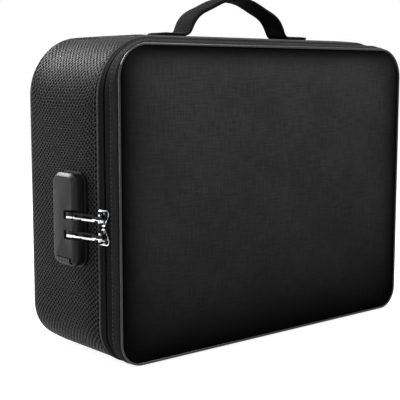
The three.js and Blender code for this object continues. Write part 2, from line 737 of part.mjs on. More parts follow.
// Pullers. Each has its own frame: x along the puller, y through its thickness, z up.
const pullerLean = Math.atan2(
  // The tip's middle lies this far out from the hinge bar when it sits in its slot.
  (-(housingOuter) - PULLER_TIP_THICKNESS * 0.85)
  - (-(zipPoint.x - barMiddle * Math.cos(zipLean))),
  PULLER_REACH,
);
function puller() {
  const half0 = PULLER_WIDTH / 2;
  const eyeHole = BAR_RADIUS + PULLER_EYE_PLAY;
  const eyeRadius = eyeHole + PULLER_EYE_WALL;
  const tipStart = PULLER_REACH - PULLER_TIP_LENGTH;
  const shoulder = eyeRadius + 2.2;
  const outline = [
    [eyeHole + 0.3, -PULLER_EYE_DEPTH / 2],
    [eyeRadius + 0.6, -PULLER_EYE_DEPTH / 2],
    [shoulder, -half0],
    [tipStart + 1, -half0],
    [tipStart + 1, half0],
    [shoulder, half0],
    [eyeRadius + 0.6, PULLER_EYE_DEPTH / 2],
    [eyeHole + 0.3, PULLER_EYE_DEPTH / 2],
  ];
  const thick = PULLER_THICKNESS / 2;
  const shank = solid(loft([-thick, thick].map((y) => (
    outline.map(([x, z]) => new THREE.Vector3(x, y, z))
  ))));
  const window0 = rounded(
    shoulder + 1.6,
    tipStart - 1.6,
    -PULLER_WINDOW / 2,
    PULLER_WINDOW / 2,
    PULLER_WINDOW * 0.45,
    2,
  );
  const windowCut = solid(loft([-thick - 1, thick + 1].map((y) => (
    window0.map(([x, z]) => new THREE.Vector3(x, y, z))
  ))));
  const tip = rounded(tipStart, PULLER_REACH, -half0, half0, 1.2, 2);
  const tipHalf = PULLER_TIP_THICKNESS / 2;
  const tipBlock = solid(loft([-tipHalf, tipHalf].map((y) => (
    tip.map(([x, z]) => new THREE.Vector3(x, y, z))
  ))));
  const eyeFoot = new THREE.Vector3(0, 0, -PULLER_EYE_DEPTH / 2);
  const eye = bar('z', eyeRadius, PULLER_EYE_DEPTH, eyeFoot, 18);
  const eyeMiddle = new THREE.Vector3(0, 0, -PULLER_EYE_DEPTH / 2 - 1);
  const eyeCut = bar('z', eyeHole, PULLER_EYE_DEPTH + 2, eyeMiddle, 14);
  const prongCut = bar('x', PRONG_HOLE, 4, new THREE.Vector3(PULLER_REACH - 3, 0, 0), 10);
  return surface(join(eye, shank, tipBlock).subtract(windowCut).subtract(eyeCut).subtract(prongCut));
}

const hingeX = zipPoint.x - barMiddle * Math.cos(zipLean);
const hingeT = zipMiddle - barMiddle * Math.sin(zipLean);
for (const [name, side] of [['upper', 1], ['lower', -1]]) {
  const z = SLIDERS_MIDDLE + (side * SLIDER_SPACING) / 2;
  const sliderMesh = add(`${name}_slider`, slider(side), finishes.chrome());
  sliderMesh.position.set(zipPoint.x, zipPoint.y, z);
  sliderMesh.rotation.z = Math.PI + zipLean;
  const pullerMesh = add(`${name}_puller`, puller(), finishes.chrome());
  pullerMesh.position.copy(place(hingeX, hingeT, z));
  pullerMesh.rotation.z = Math.PI / 2 + pullerLean;
}

// Lock base: a plate on the side wall, with two lugs for the dial spindle.
const plateOnSide = (points, x) => points.map(([t, z]) => place(x, t, z));
const lockOutline = (lip) => rounded(
  LOCK_FRONT - lip,
  LOCK_FRONT + LOCK_WIDTH + lip,
  LOCK_MIDDLE - LOCK_HEIGHT / 2 - lip,
  LOCK_MIDDLE + LOCK_HEIGHT / 2 + lip,
  LOCK_CORNER + lip,
  5,
);
const dialT = LOCK_FRONT + LOCK_WIDTH + DIAL_PROUD - DIAL_RADIUS;
const dialX = housingRoof + GAP + DIAL_RADIUS;
const dialPlaces = [1, 0, -1].map((n) => DIALS_MIDDLE + n * DIAL_PITCH);
const spindleHalf = DIAL_PITCH + DIAL_THICKNESS / 2 + RUNNING_PLAY + LUG_THICKNESS + 0.6;
const lugHole = SPINDLE_RADIUS + RUNNING_PLAY;
const lugHalf = lugHole + 0.9;
const lugBack = LOCK_FRONT + LOCK_WIDTH - HOUSING_WALL - GAP;
const lugs = [1, -1].map((side) => {
  const near = DIALS_MIDDLE + side * (spindleHalf - 0.6 - LUG_THICKNESS);
  const far = DIALS_MIDDLE + side * (spindleHalf - 0.6);
  return block(
    dialX - lugHalf,
    lockBaseOuter + 0.2,
    dialT - lugHalf,
    lugBack,
    Math.min(near, far),
    Math.max(near, far),
  );
});
const basePlate = solid(loft([
  plateOnSide(lockOutline(LOCK_BASE_LIP), lockBaseInner),
  plateOnSide(lockOutline(LOCK_BASE_LIP), lockBaseOuter),
]));
const spindleCut = bar(
  'z',
  lugHole,
  spindleHalf * 2 + 4,
  place(dialX, dialT, DIALS_MIDDLE - spindleHalf - 2),
  14,
);
const baseScrewHoles = screwHoles(SCREW_RADIUS + GAP, lockBaseOuter - 1, lockBaseInner + 1);
add('lock_base', surface(
  join(basePlate, ...lugs).subtract(spindleCut).subtract(baseScrewHoles),
), finishes.plastic());

// Lock housing: a moulded cover with a slot for each puller, a window for each dial and one for
// the button. The slots widen towards their mouths, away from each other.
const tipMiddle = hingeT + PULLER_REACH * Math.cos(pullerLean);
const slotEnd = tipMiddle + SLOT_END_PLAY;
const pullerX = (t) => hingeX - (t - hingeT) * Math.tan(pullerLean);
const slotFloor = (t) => pullerX(t) + PULLER_TIP_THICKNESS / 2 / Math.cos(pullerLean) + SLOT_PLAY;
const travelPerTurn = SLIDER_TRAVEL / THREE.MathUtils.degToRad(PULLER_SWING);
function slotRing(t, z, side, grow, depth) {
  const halfSlot = PULLER_WIDTH / 2 + SLOT_PLAY + grow;
  const floor = slotFloor(t) + depth;
  const outerX = housingOuter - 1.5;
  const rise = (floor - outerX) / (t - hingeT);
  const flare = travelPerTurn * Math.asin(Math.min(1, rise)) + SLOT_PLAY;
  return [
    place(floor, t, z - side * halfSlot),
    place(outerX, t, z - side * halfSlot),
    place(outerX, t, z + side * (halfSlot + flare)),
    place(floor, t, z + side * (halfSlot + SLOT_PLAY)),
  ];
}
const slotSteps = [LOCK_FRONT - 1, LOCK_FRONT + 6, LOCK_FRONT + 12, slotEnd];
const slots = [];
const wells = [];
for (const side of [1, -1]) {
  const z = SLIDERS_MIDDLE + (side * SLIDER_SPACING) / 2;
  slots.push(solid(loft(slotSteps.map((t) => slotRing(t, z, side, 0, 0)))));
  const wellSteps = [...slotSteps.slice(0, -1), slotEnd + WELL_WALL];
  wells.push(solid(loft(wellSteps.map((t) => slotRing(t, z, side, WELL_WALL, WELL_WALL)))));
}
const housingLevels = [
  [0, housingInner],
  [0, housingOuter + 3.2],
  [0.35, housingOuter + 2.6],
  [2.4, housingOuter + 0.5],
  [3, housingOuter + 0.15],
  [3.8, housingOuter],
];
const housingBlock = solid(loft(housingLevels.map(([inset, x]) => (
  plateOnSide(lockOutline(-inset), x)
))));
const housingHollow = solid(loft([
  plateOnSide(lockOutline(-HOUSING_WALL), housingInner + 1),
  plateOnSide(lockOutline(-HOUSING_WALL), housingRoof),
]));
const windowPlay = 0.5;
const dialWindows = dialPlaces.map((z) => block(
  housingRoof - 0.2,
  dialX + DIAL_RADIUS + 0.3,
  dialT - DIAL_RADIUS - windowPlay,
  LOCK_FRONT + LOCK_WIDTH + 2,
  z - DIAL_THICKNESS / 2 - windowPlay,
  z + DIAL_THICKNESS / 2 + windowPlay,
));
const buttonT = LOCK_FRONT + LOCK_WIDTH / 2;
const buttonWindow = block(
  housingOuter - 2,
  housingRoof + 0.5,
  buttonT - BUTTON_WIDTH / 2 - LATCH_TRAVEL - windowPlay,
  buttonT + BUTTON_WIDTH / 2 + windowPlay,
  BUTTON_MIDDLE - BUTTON_HEIGHT / 2 - windowPlay,
  BUTTON_MIDDLE + BUTTON_HEIGHT / 2 + windowPlay,
);
const prongX = pullerX(tipMiddle - 1.2);
const prongZ = [1, -1].map((side) => SLIDERS_MIDDLE + (side * SLIDER_SPACING) / 2);
const prongHoles = prongZ.map((z) => bar('y', PRONG_RADIUS + GAP, 3, place(prongX, slotEnd - 1, z), 10));
const hollowedHousing = housingBlock.subtract(housingHollow);
const welledHousing = hollowedHousing.add(join(...wells).intersect(housingBlock));
const cuts = join(...slots, ...dialWindows, buttonWindow, ...prongHoles);
add('lock_housing', surface(welledHousing.subtract(cuts)), finishes.plastic());

// Dials: ten flats each, with a groove between every two.
function dial(z) {
  const points = [];
  for (let i = 0; i < DIAL_FACES; i += 1) {
    for (const [share, radius] of [[-0.36, 1], [0, 0.985], [0.36, 1], [0.5, 0.93]]) {
      const angle = ((i + share) / DIAL_FACES) * Math.PI * 2;
      points.push([
        dialX + DIAL_RADIUS * radius * Math.cos(angle),
        dialT + DIAL_RADIUS * radius * Math.sin(angle),
      ]);
    }
  }
  const ring = (height) => points.map(([x, t]) => place(x, t, height));
  const body = solid(loft([ring(z - DIAL_THICKNESS / 2), ring(z + DIAL_THICKNESS / 2)]));
  const bore = bar(
    'z',
    SPINDLE_RADIUS + RUNNING_PLAY,
    DIAL_THICKNESS + 2,
    place(dialX, dialT, z - DIAL_THICKNESS / 2 - 1),
    14,
  );
  return surface(body.subtract(bore));
}
dialPlaces.forEach((z, i) => add(`dial_${i + 1}`, dial(z), finishes.dial()));
add('dial_spindle', surface(bar(
  'z',
  SPINDLE_RADIUS,
  spindleHalf * 2,
  place(dialX, dialT, DIALS_MIDDLE - spindleHalf),
  14,
)), finishes.steel());

// Latch: a plate with a post and a prong for each puller, and a stub that carries the button.
const postEnd = dialT - DIAL_RADIUS - GAP - 0.1;
const postStart = postEnd - LATCH_POST;
const latchInner = housingInner - GAP * 0.4;
const latchOuter = latchInner - LATCH_PLATE;
const latchTop = prongZ[0] + 5;
const latchBase = BUTTON_MIDDLE - BUTTON_HEIGHT / 2 + 1;
const stubOuter = latchOuter - 2;
const prongStart = slotEnd + SLOT_PLAY;
const prongReach = postStart - prongStart + 0.5;
const latchParts = [
  block(latchOuter, latchInner, postStart - 2, postEnd, latchBase, latchTop),
  block(latchOuter, latchInner, buttonT - 2, postEnd, latchBase, BUTTON_MIDDLE + 2),
  block(stubOuter, latchInner, buttonT - 2, buttonT + 2, BUTTON_MIDDLE - 2, BUTTON_MIDDLE + 2),
  ...prongZ.map((z) => block(
    prongX - PRONG_RADIUS,
    latchInner,
    postStart,
    postEnd,
    z - 1.7,
    z + 1.7,
  )),
  ...prongZ.map((z) => bar('y', PRONG_RADIUS, prongReach, place(prongX, prongStart, z), 10)),
];
add('latch_plate', surface(join(...latchParts)), finishes.steel());
const buttonBlock = block(
  housingOuter - BUTTON_PROUD,
  stubOuter - GAP,
  buttonT - BUTTON_WIDTH / 2,
  buttonT + BUTTON_WIDTH / 2,
  BUTTON_MIDDLE - BUTTON_HEIGHT / 2,
  BUTTON_MIDDLE + BUTTON_HEIGHT / 2,
);
const ribMiddles = Array.from({ length: BUTTON_RIBS }, (_, i) => (
  buttonT + (i - (BUTTON_RIBS - 1) / 2) * BUTTON_RIB_PITCH
));
const gripGrooves = ribMiddles.map((t) => block(
  housingOuter - BUTTON_PROUD - 1,
  housingOuter - BUTTON_PROUD + 0.35,
  t - 0.35,
  t + 0.35,
  BUTTON_MIDDLE - BUTTON_HEIGHT / 2 - 1,
  BUTTON_MIDDLE + BUTTON_HEIGHT / 2 + 1,
));
add('release_button', surface(buttonBlock.subtract(join(...gripGrooves))), finishes.plastic());

// Detent spring: a bent strip on the base, beside the end of the latch plate.
const springBase = latchTop + GAP;
const springBends = [0, 1, 2, 3, 4, 5].map((i) => [
  postStart - 3 + (i % 2) * 4,
  springBase + SPRING_WIRE / 2 + i * 2.2,
]);
const springRing = (x) => {
  const right = springBends.map(([t, z]) => [t + SPRING_WIRE, z]);
  const left = springBends.map(([t, z]) => [t - SPRING_WIRE, z]).reverse();
  return plateOnSide([...right, ...left], x);
};
add('detent_spring', loft([springRing(latchInner), springRing(latchOuter)]), finishes.steel());

// Fixing: a plate inside the wall and two screws through to the lock's base.
const backplateOutline = rounded(
  backplateEdge,
  LOCK_FRONT + LOCK_WIDTH - 4,
  LOCK_MIDDLE - LOCK_HEIGHT / 2 + 1,
  LOCK_MIDDLE + LOCK_HEIGHT / 2 - 1,
  LOCK_CORNER - 3,
  4,
);
const backplate = solid(loft([
  plateOnSide(backplateOutline, backplateOuter),
  plateOnSide(backplateOutline, backplateInner),
]));
const plateScrewHoles = screwHoles(SCREW_RADIUS + GAP, backplateOuter - 1, backplateInner + 1);
add('lock_backplate', surface(backplate.subtract(plateScrewHoles)), finishes.steel());
['upper', 'lower'].forEach((name, i) => {
  const z = screwPlaces[i];
  const shankStart = lockBaseOuter + GAP;
  const headStart = backplateInner + GAP;
  const shank = bar('x', SCREW_RADIUS, headStart + 0.2 - shankStart, place(shankStart, lockMiddleT, z), 12);
  const head = new THREE.CylinderGeometry(SCREW_HEAD_RADIUS * 0.7, SCREW_HEAD_RADIUS, SCREW_HEAD, 16);
  head.rotateZ(-Math.PI / 2);
  const middle = place(headStart + SCREW_HEAD / 2, lockMiddleT, z);
  head.translate(middle.x, middle.y, middle.z);
  add(`${name}_lock_screw`, surface(join(shank, solid(head))), finishes.steel());
});

export default part;
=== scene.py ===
import math

import bmesh
import bpy
from mathutils import Matrix, Vector, noise


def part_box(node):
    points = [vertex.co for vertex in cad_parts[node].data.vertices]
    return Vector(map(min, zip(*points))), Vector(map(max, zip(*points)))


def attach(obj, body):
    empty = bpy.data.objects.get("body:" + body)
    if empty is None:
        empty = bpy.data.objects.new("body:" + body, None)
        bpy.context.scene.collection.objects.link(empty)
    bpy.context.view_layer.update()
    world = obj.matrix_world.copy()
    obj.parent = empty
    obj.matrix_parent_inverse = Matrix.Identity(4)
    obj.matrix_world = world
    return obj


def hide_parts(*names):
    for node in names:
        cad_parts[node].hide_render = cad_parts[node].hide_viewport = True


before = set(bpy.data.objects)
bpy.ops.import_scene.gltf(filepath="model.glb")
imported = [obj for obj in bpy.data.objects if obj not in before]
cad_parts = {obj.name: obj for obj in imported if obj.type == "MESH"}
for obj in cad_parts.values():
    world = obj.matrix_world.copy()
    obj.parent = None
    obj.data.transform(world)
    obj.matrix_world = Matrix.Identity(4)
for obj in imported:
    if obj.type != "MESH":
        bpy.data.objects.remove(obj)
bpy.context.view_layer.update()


# The lid's front panel is fine black cloth over a thin foam pad and a board.
# It is sewn into the piping all round, so its edge pulls in and its middle is gently crowned.
CASE_WIDTH = 0.360
CASE_HEIGHT = 0.270
CASE_DEPTH = 0.122
UPPER_RADIUS = 0.060
UPPER_RADIUS_FRONT = 0.028
UPPER_RADIUS_BACK = 0.051
LOWER_RADIUS = 0.037
LOWER_RADIUS_FRONT = 0.021
FRONT_DRAW = 0.008
FRONT_BASE_DRAW = 0.0013
FRONT_DRAW_REACH = 0.046
BACK_DRAW = 0.0007
BACK_DRAW_REACH = 0.024
GAP = 0.0003
WELT = 0.0022
PANEL_INSET = FRONT_DRAW + WELT + GAP
PANEL_CROWN = 0.0038
CLOTH_PITCH = 0.0013
# Painted shade: the panel cloth darkens to black towards each seam. Each pair is the reach in metres and the
# power of its fade.
SHADE_LOCK_SIDE = (0.0155, 1.3)
SHADE_SPINE_SIDE = (0.017, 1.4)
SHADE_TOP = (0.0110, 1.8)
SHADE_BASE = (0.056, 1.25)
PAD_SHOULDER = 0.014
PAD_REACH = 0.060
PAD_SOFTNESS = 0.017
PAD_ROLL = 0.0016
PAD_ROLL_HEIGHT = 0.0009
PAD_BULGE_SHARE = 0.34
PAD_HELD_RINGS = 3


def spot(x, depth, z):
    """A point from its depth behind the front piping."""
    return Vector((x, depth - CASE_DEPTH / 2, z))


def near_front(depth):
    """How near a depth is to the front edge, from 0 to 1."""
    return min(1.0, max(0.0, 1 - depth / FRONT_DRAW_REACH)) ** 2


def near_back(depth):
    """How near a depth is to the back edge, from 0 to 1."""
    return min(1.0, max(0.0, 1 - (CASE_DEPTH - depth) / BACK_DRAW_REACH)) ** 2


def drawn_in(depth):
    """How far the outside lies in from the fullest outline at a depth."""
    return FRONT_DRAW * near_front(depth) + BACK_DRAW * near_back(depth)


def base_drawn_in(depth):
    """The same underneath, where the case stands."""
    return FRONT_BASE_DRAW * near_front(depth) + BACK_DRAW * near_back(depth)


def corner_radius(depth, sign_z):
    """Radius of an upper or a lower corner at a depth."""
    if sign_z < 0:
        return LOWER_RADIUS - (LOWER_RADIUS - LOWER_RADIUS_FRONT) * near_front(depth)
    front = (UPPER_RADIUS - UPPER_RADIUS_FRONT) * near_front(depth)
    back = (UPPER_RADIUS - UPPER_RADIUS_BACK) * near_back(depth)
    return UPPER_RADIUS - front - back


def corner_point(place, depth, inset):
    """A point on a corner. The place is the corner's signs and a direction in degrees."""
    sign_x, sign_z, degrees = place
    radius = corner_radius(depth, sign_z)
    side = CASE_WIDTH / 2 - drawn_in(depth) - radius
    end = CASE_HEIGHT - drawn_in(depth) - radius if sign_z > 0 else base_drawn_in(depth) + radius
    reach = radius - (inset - drawn_in(depth))
    turn = math.radians(degrees)
    return spot(sign_x * side + math.cos(turn) * reach, depth, end + math.sin(turn) * reach)


def at(station, depth, inset):
    """A point on a station, a share of the way between two corner places, moved in by the inset."""
    first, second, share = station
    point = corner_point(first, depth, inset)
    if share > 0:
        point = point.lerp(corner_point(second, depth, inset), share)
    return point


TOP_RIGHT, TOP_LEFT, LOW_LEFT, LOW_RIGHT = (1, 1, 0), (-1, 1, 90), (-1, -1, 180), (1, -1, 270)


def turned(corner, degrees):
    """A place on a corner, some degrees on from its start."""
    return (corner[0], corner[1], corner[2] + degrees)


def corner_run(corner, steps, start=0.0, end=90.0):
    """Stations round a corner, without the last one."""
    places = [turned(corner, start + (end - start) * i / steps) for i in range(steps)]
    return [(place, place, 0.0) for place in places]


def side_run(first, second, step, start=0.0, end=1.0):
    """Stations along a straight side between two corner places, without the last one."""
    middle = CASE_DEPTH / 2
    length = (corner_point(first, middle, 0) - corner_point(second, middle, 0)).length
    count = max(1, round(length / step))
    return [(first, second, start + (end - start) * i / count) for i in range(count)]


def whole_outline(corner_steps=14, step=0.010):
    """The whole outline, from the foot of the top right corner round over the top."""
    return (
        corner_run(TOP_RIGHT, corner_steps)
        + side_run(turned(TOP_RIGHT, 90), TOP_LEFT, step)
        + corner_run(TOP_LEFT, corner_steps)
        + side_run(turned(TOP_LEFT, 90), LOW_LEFT, step)
        + corner_run(LOW_LEFT, corner_steps)
        + side_run(turned(LOW_LEFT, 90), LOW_RIGHT, step)
        + corner_run(LOW_RIGHT, corner_steps)
        + side_run(turned(LOW_RIGHT, 90), TOP_RIGHT, step)
    )


def placed(name, data):
    """An object at the origin, in the scene."""
    piece = bpy.data.objects.new(name, data)
    bpy.context.scene.collection.objects.link(piece)
    return piece


def smooth_but_sharp(mesh, degrees):
    """Smooth shading. Edges past an angle stay sharp, where one is given."""
    mesh.shade_smooth()
    if degrees is None:
        return
    sheet = bmesh.new()
    sheet.from_mesh(mesh)
    for edge in sheet.edges:
        if len(edge.link_faces) == 2:
            edge.smooth = edge.calc_face_angle(0) < math.radians(degrees)
    sheet.to_mesh(mesh)
    sheet.free()


def new_piece(name, points, faces, flat=None, corner_uvs=None, sharp=None):
    """A closed piece with its faces outwards. It has one UV for each point or each face corner."""
    mesh = bpy.data.meshes.new(name)
    mesh.from_pydata([tuple(p) for p in points], [], faces)
    if flat:
        corner_uvs = [flat[v] for face in faces for v in face]
    layer = mesh.uv_layers.new(name="cloth")
    for loop, uv in zip(layer.data, corner_uvs):
        loop.uv = uv
    mesh.validate()
    mesh.update()
    smooth_but_sharp(mesh, sharp)
    sheet = bmesh.new()
    sheet.from_mesh(mesh)
    bmesh.ops.remove_doubles(sheet, verts=sheet.verts, dist=1e-6)
    bmesh.ops.recalc_face_normals(sheet, faces=sheet.faces)
    sheet.to_mesh(mesh)
    sheet.free()
    return placed(name, mesh)


def dress(piece, body, material, nodes=()):
    """Gives a piece its material, its body and the CAD solids that it stands for."""
    piece.data.materials.clear()
    piece.data.materials.append(material)
    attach(piece, body)
    if nodes:
        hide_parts(*nodes)


def crowned_panel(name, inset, edge_depths, out, crown, outline):
    """A closed pad: rings step in from the sewn edge, and its face rises in a smooth crown."""
    rings = [[at(s, depth, inset) for s in outline] for depth in edge_depths]
    half_x = CASE_WIDTH / 2 - inset
    low, high = inset - FRONT_DRAW * 0.85, CASE_HEIGHT - inset
    middle_z = (low + high) / 2
    for i in range(1, 19):
        step_in = PAD_REACH * (i / 18) ** 1.7
        rings.append([at(s, edge_depths[-1], inset + min(step_in, PAD_SHOULDER)) for s in outline])
        if step_in > PAD_SHOULDER:
            shrink = (half_x - step_in) / (half_x - PAD_SHOULDER)
            for p in rings[-1]:
                p.x *= shrink
                p.z = middle_z + (p.z - middle_z) * shrink
    outer = rings[-1]
    for scale in (0.92, 0.83, 0.74, 0.65, 0.56, 0.47, 0.38, 0.29, 0.2, 0.1):
        rings.append([Vector((p.x * scale, p.y, middle_z + (p.z - middle_z) * scale)) for p in outer])
    for ring in rings[len(edge_depths):]:
        for p in ring:
            from_side = max(0.0, half_x - abs(p.x))
            from_end = max(0.0, min(p.z - low, high - p.z))
            roll = PAD_ROLL_HEIGHT * (1 - math.exp(-min(from_side, from_end) / PAD_ROLL))
            soft = (1 - math.exp(-from_side / PAD_SOFTNESS)) * (1 - math.exp(-from_end / PAD_SOFTNESS))
            bulge = (1 - (p.x / half_x) ** 2) * (1 - ((2 * p.z - low - high) / (high - low)) ** 2)
            rise = (1 - PAD_BULGE_SHARE) * soft + PAD_BULGE_SHARE * max(0.0, bulge)
            p.y += out * (roll + crown * rise) + soft_ripple(p)
    count = len(outline)
    points = [p for ring in rings for p in ring]
    points.append(sum(rings[-1], Vector()) / count)
    faces = [list(range(count))]
    for i in range(len(rings) - 1):
        a, b = i * count, (i + 1) * count
        for j in range(count):
            k = (j + 1) % count
            faces.append([a + j, b + j, b + k, a + k])
    tip, base = len(points) - 1, (len(rings) - 1) * count
    for j in range(count):
        faces.append([base + j, tip, base + (j + 1) % count])
    piece = new_piece(name, points, faces, [(p.x, p.z) for p in points])
    # Painted shade: a point attribute that darkens the cloth towards the seams.
    shade = piece.data.attributes.new("painted seam shade", "FLOAT", "POINT")
    for vertex, value in zip(piece.data.vertices, shade.data):
        value.value = seam_shade(vertex.co, half_x, low, high)
    return piece


def seam_shade(p, half_x, low, high):
    """How far the painted shade has faded away from the seams, from 0 (painted black) to 1 (none)."""
    share = 1.0
    for distance, (reach, power) in (
        (half_x + p.x, SHADE_LOCK_SIDE),
        (half_x - p.x, SHADE_SPINE_SIDE),
        (high - p.z, SHADE_TOP),
        (p.z - low, SHADE_BASE),
    ):
        share *= 1 - math.exp(-((max(0.0, distance) / reach) ** power))
    return share


def soft_ripple(p):
    """The faint unevenness of cloth drawn over foam."""
    slow = noise.noise(Vector((p.x * 9.0, p.z * 7.0, 3.1)))
    quick = noise.noise(Vector((p.x * 26.0, p.z * 22.0, 8.7)))
    return 0.00035 * slow + 0.00012 * quick


def fill(tree, node, *values, **named):
    """Sets a node's sockets, in order or by names with a capital, and its settings by small names."""
    pairs = list(zip(node.inputs, values))
    for name, value in named.items():
        if name[0].islower():
            setattr(node, name, value)
        else:
            pairs.append((node.inputs[name.replace("_", " ")], value))
    for socket, value in pairs:
        if isinstance(value, bpy.types.NodeSocket):
            tree.links.new(value, socket)
        else:
            socket.default_value = value
    return node


def add_node(tree, kind, *values, **named):
    """A new node of a kind, filled in."""
    return fill(tree, tree.nodes.new(kind), *values, **named)


def maths(tree, operation, *values, clamp=False):
    """One maths node. A value is a socket or a number."""
    return add_node(tree, "ShaderNodeMath", *values, operation=operation, use_clamp=clamp).outputs[0]


def spread(tree, value, low, high, to_low=0.0, to_high=1.0):
    """A value's range stretched to another, with soft ends."""
    kind, soft = "ShaderNodeMapRange", "SMOOTHSTEP"
    return add_node(tree, kind, value, low, high, to_low, to_high, interpolation_type=soft).outputs["Result"]


def blend_colour(tree, share, dark, light):
    """A mix of two colours. Each is a socket or a colour."""
    node = add_node(tree, "ShaderNodeMix", data_type="RGBA", Factor=share)
    for socket, value in zip(node.inputs[6:8], (dark, light)):
        if isinstance(value, tuple):
            socket.default_value = (*value, 1.0)
        else:
            tree.links.new(value, socket)
    return node.outputs[2]


def noise_value(tree, vector, scale, detail=3.0, roughness=0.55):
    """Plain noise on a vector."""
    kind = "ShaderNodeTexNoise"
    return add_node(tree, kind, Vector=vector, Scale=scale, Detail=detail, Roughness=roughness).outputs["Fac"]


def stretched_noise(tree, vector, factors):
    """Noise on a vector with each axis scaled by its own factor."""
    stretched = add_node(tree, "ShaderNodeMapping", Vector=vector, Scale=factors).outputs[0]
    return noise_value(tree, stretched, 1.0, 2.0)


def make_group(name, numbers, outputs):
    """A node group that takes a vector and some numbers and puts out numbers."""
    group = bpy.data.node_groups.new(name, "ShaderNodeTree")
    sockets = group.interface
    sockets.new_socket("Vector", in_out="INPUT", socket_type="NodeSocketVector")
    for socket, value in numbers.items():
        sockets.new_socket(socket, in_out="INPUT", socket_type="NodeSocketFloat").default_value = value
    for socket in outputs:
        sockets.new_socket(socket, in_out="OUTPUT", socket_type="NodeSocketFloat")
    return group, group.nodes.new("NodeGroupInput").outputs


def crossed_waves(tree, vector, pitches):
    """A wave along each of two axes, multiplied."""
    split = add_node(tree, "ShaderNodeSeparateXYZ", vector)
    waves = []
    for axis, pitch in enumerate(pitches):
        turns = maths(tree, "DIVIDE", split.outputs[axis], pitch)
        waves.append(maths(tree, "COSINE", maths(tree, "MULTIPLY", turns, 2 * math.pi)))
    return maths(tree, "MULTIPLY", *waves)


def make_weave_group():
    """Crossing threads: over and under in turn, with some threads thicker than others."""
    numbers = {"Pitch across": 0.0016, "Pitch along": 0.0016}
    group, enter = make_group("Crossing threads", numbers, ("Height", "Slub"))
    crossed = crossed_waves(group, enter["Vector"], (enter["Pitch across"], enter["Pitch along"]))
    along_x = stretched_noise(group, enter["Vector"], (60, 900, 1))
    along_y = stretched_noise(group, enter["Vector"], (900, 60, 1))
    slub = maths(group, "MULTIPLY", maths(group, "ADD", along_x, along_y), 0.5)
    add_node(group, "NodeGroupOutput", Height=spread(group, crossed, -0.9, 0.9), Slub=slub)
    return group


def make_handling_group():
    """Handling marks: broad faint patches and fine lint, for colour and roughness."""
    numbers = {"Patch scale": 14.0, "Lint scale": 700.0}
    group, enter = make_group("Handling marks", numbers, ("Patches", "Lint"))
    patches = noise_value(group, enter["Vector"], enter["Patch scale"], 4.0, 0.5)
    lint = noise_value(group, enter["Vector"], enter["Lint scale"], 2.0, 0.5)
    patches, lint = spread(group, patches, 0.35, 0.65), spread(group, lint, 0.66, 0.78)
    add_node(group, "NodeGroupOutput", Patches=patches, Lint=lint)
    return group


WEAVE = make_weave_group()
HANDLING = make_handling_group()


def use_group(tree, group, vector, **values):
    """Places a group, sets its named inputs and gives its outputs."""
    return add_node(tree, "ShaderNodeGroup", node_tree=group, Vector=vector, **values).outputs


def new_material(name, on_cloth=True):
    """A material with a bare Principled shader, and the coordinates for its pattern."""
    material = bpy.data.materials.new(name)
    material.use_nodes = True
    tree = material.node_tree
    tree.nodes.clear()
    shader = tree.nodes.new("ShaderNodeBsdfPrincipled")
    add_node(tree, "ShaderNodeOutputMaterial", shader.outputs[0])
    if on_cloth:
        vector = add_node(tree, "ShaderNodeUVMap", uv_map="cloth").outputs["UV"]
    else:
        vector = tree.nodes.new("ShaderNodeTexCoord").outputs["Object"]
    return material, tree, shader, vector


def drift(tree, marks, low, high):
    """A number that moves between two others with the handling marks."""
    return spread(tree, marks["Patches"], 0, 1, low, high)


def add_bump(tree, shader, height, distance):
    """A bump from a height in metres."""
    bump = add_node(tree, "ShaderNodeBump", Distance=distance, Height=height)
    fill(tree, shader, Normal=bump.outputs[0])


def cloth(name, dark, light, pitch, bump, rough=(0.62, 0.8), specular=0.02, paint_seam_shade=False):
    """A plain-woven cloth from two thread colours and a pitch. It may be given painted shade that darkens it
    towards its seams.
    """
    material, tree, shader, vector = new_material(name)
    weave = use_group(tree, WEAVE, vector, Pitch_across=pitch[0], Pitch_along=pitch[1])
    marks = use_group(tree, HANDLING, vector)
    share = maths(tree, "MULTIPLY", weave["Height"], spread(tree, weave["Slub"], 0.3, 0.7, 0.5, 1.3))
    share = maths(tree, "MULTIPLY", share, drift(tree, marks, 0.86, 1.12), clamp=True)
    colour = blend_colour(tree, share, dark, light)
    colour = blend_colour(tree, maths(tree, "MULTIPLY", marks["Lint"], 0.10), colour, LINT_GREY)
    if paint_seam_shade:
        # Painted shade: the colour fades to black towards the seams.
        shade = add_node(tree, "ShaderNodeAttribute", attribute_name="painted seam shade")
        colour = blend_colour(tree, shade.outputs["Fac"], PAINTED_SHADE_BLACK, colour)
    fill(tree, shader, Base_Color=colour, Roughness=drift(tree, marks, *rough), Specular_IOR_Level=specular)
    height = maths(tree, "ADD", weave["Height"], maths(tree, "MULTIPLY", weave["Slub"], 0.8))
    add_bump(tree, shader, height, bump)
    return material


LINT_GREY = (0.30, 0.30, 0.31)
# The black of the painted shade at the seams.
PAINTED_SHADE_BLACK = (0.003, 0.003, 0.003)
panel_cloth = cloth(
    "Panel cloth",
    (0.016, 0.016, 0.0163),
    (0.060, 0.060, 0.061),
    (CLOTH_PITCH, CLOTH_PITCH),
    0.00016,
    specular=0.0,
    paint_seam_shade=True,
)
panel_outline = whole_outline(18, 0.006)
front_panel = crowned_panel(
    "front_panel_pad", PANEL_INSET, (WELT, WELT - 0.0012), -1, PANEL_CROWN, panel_outline
)


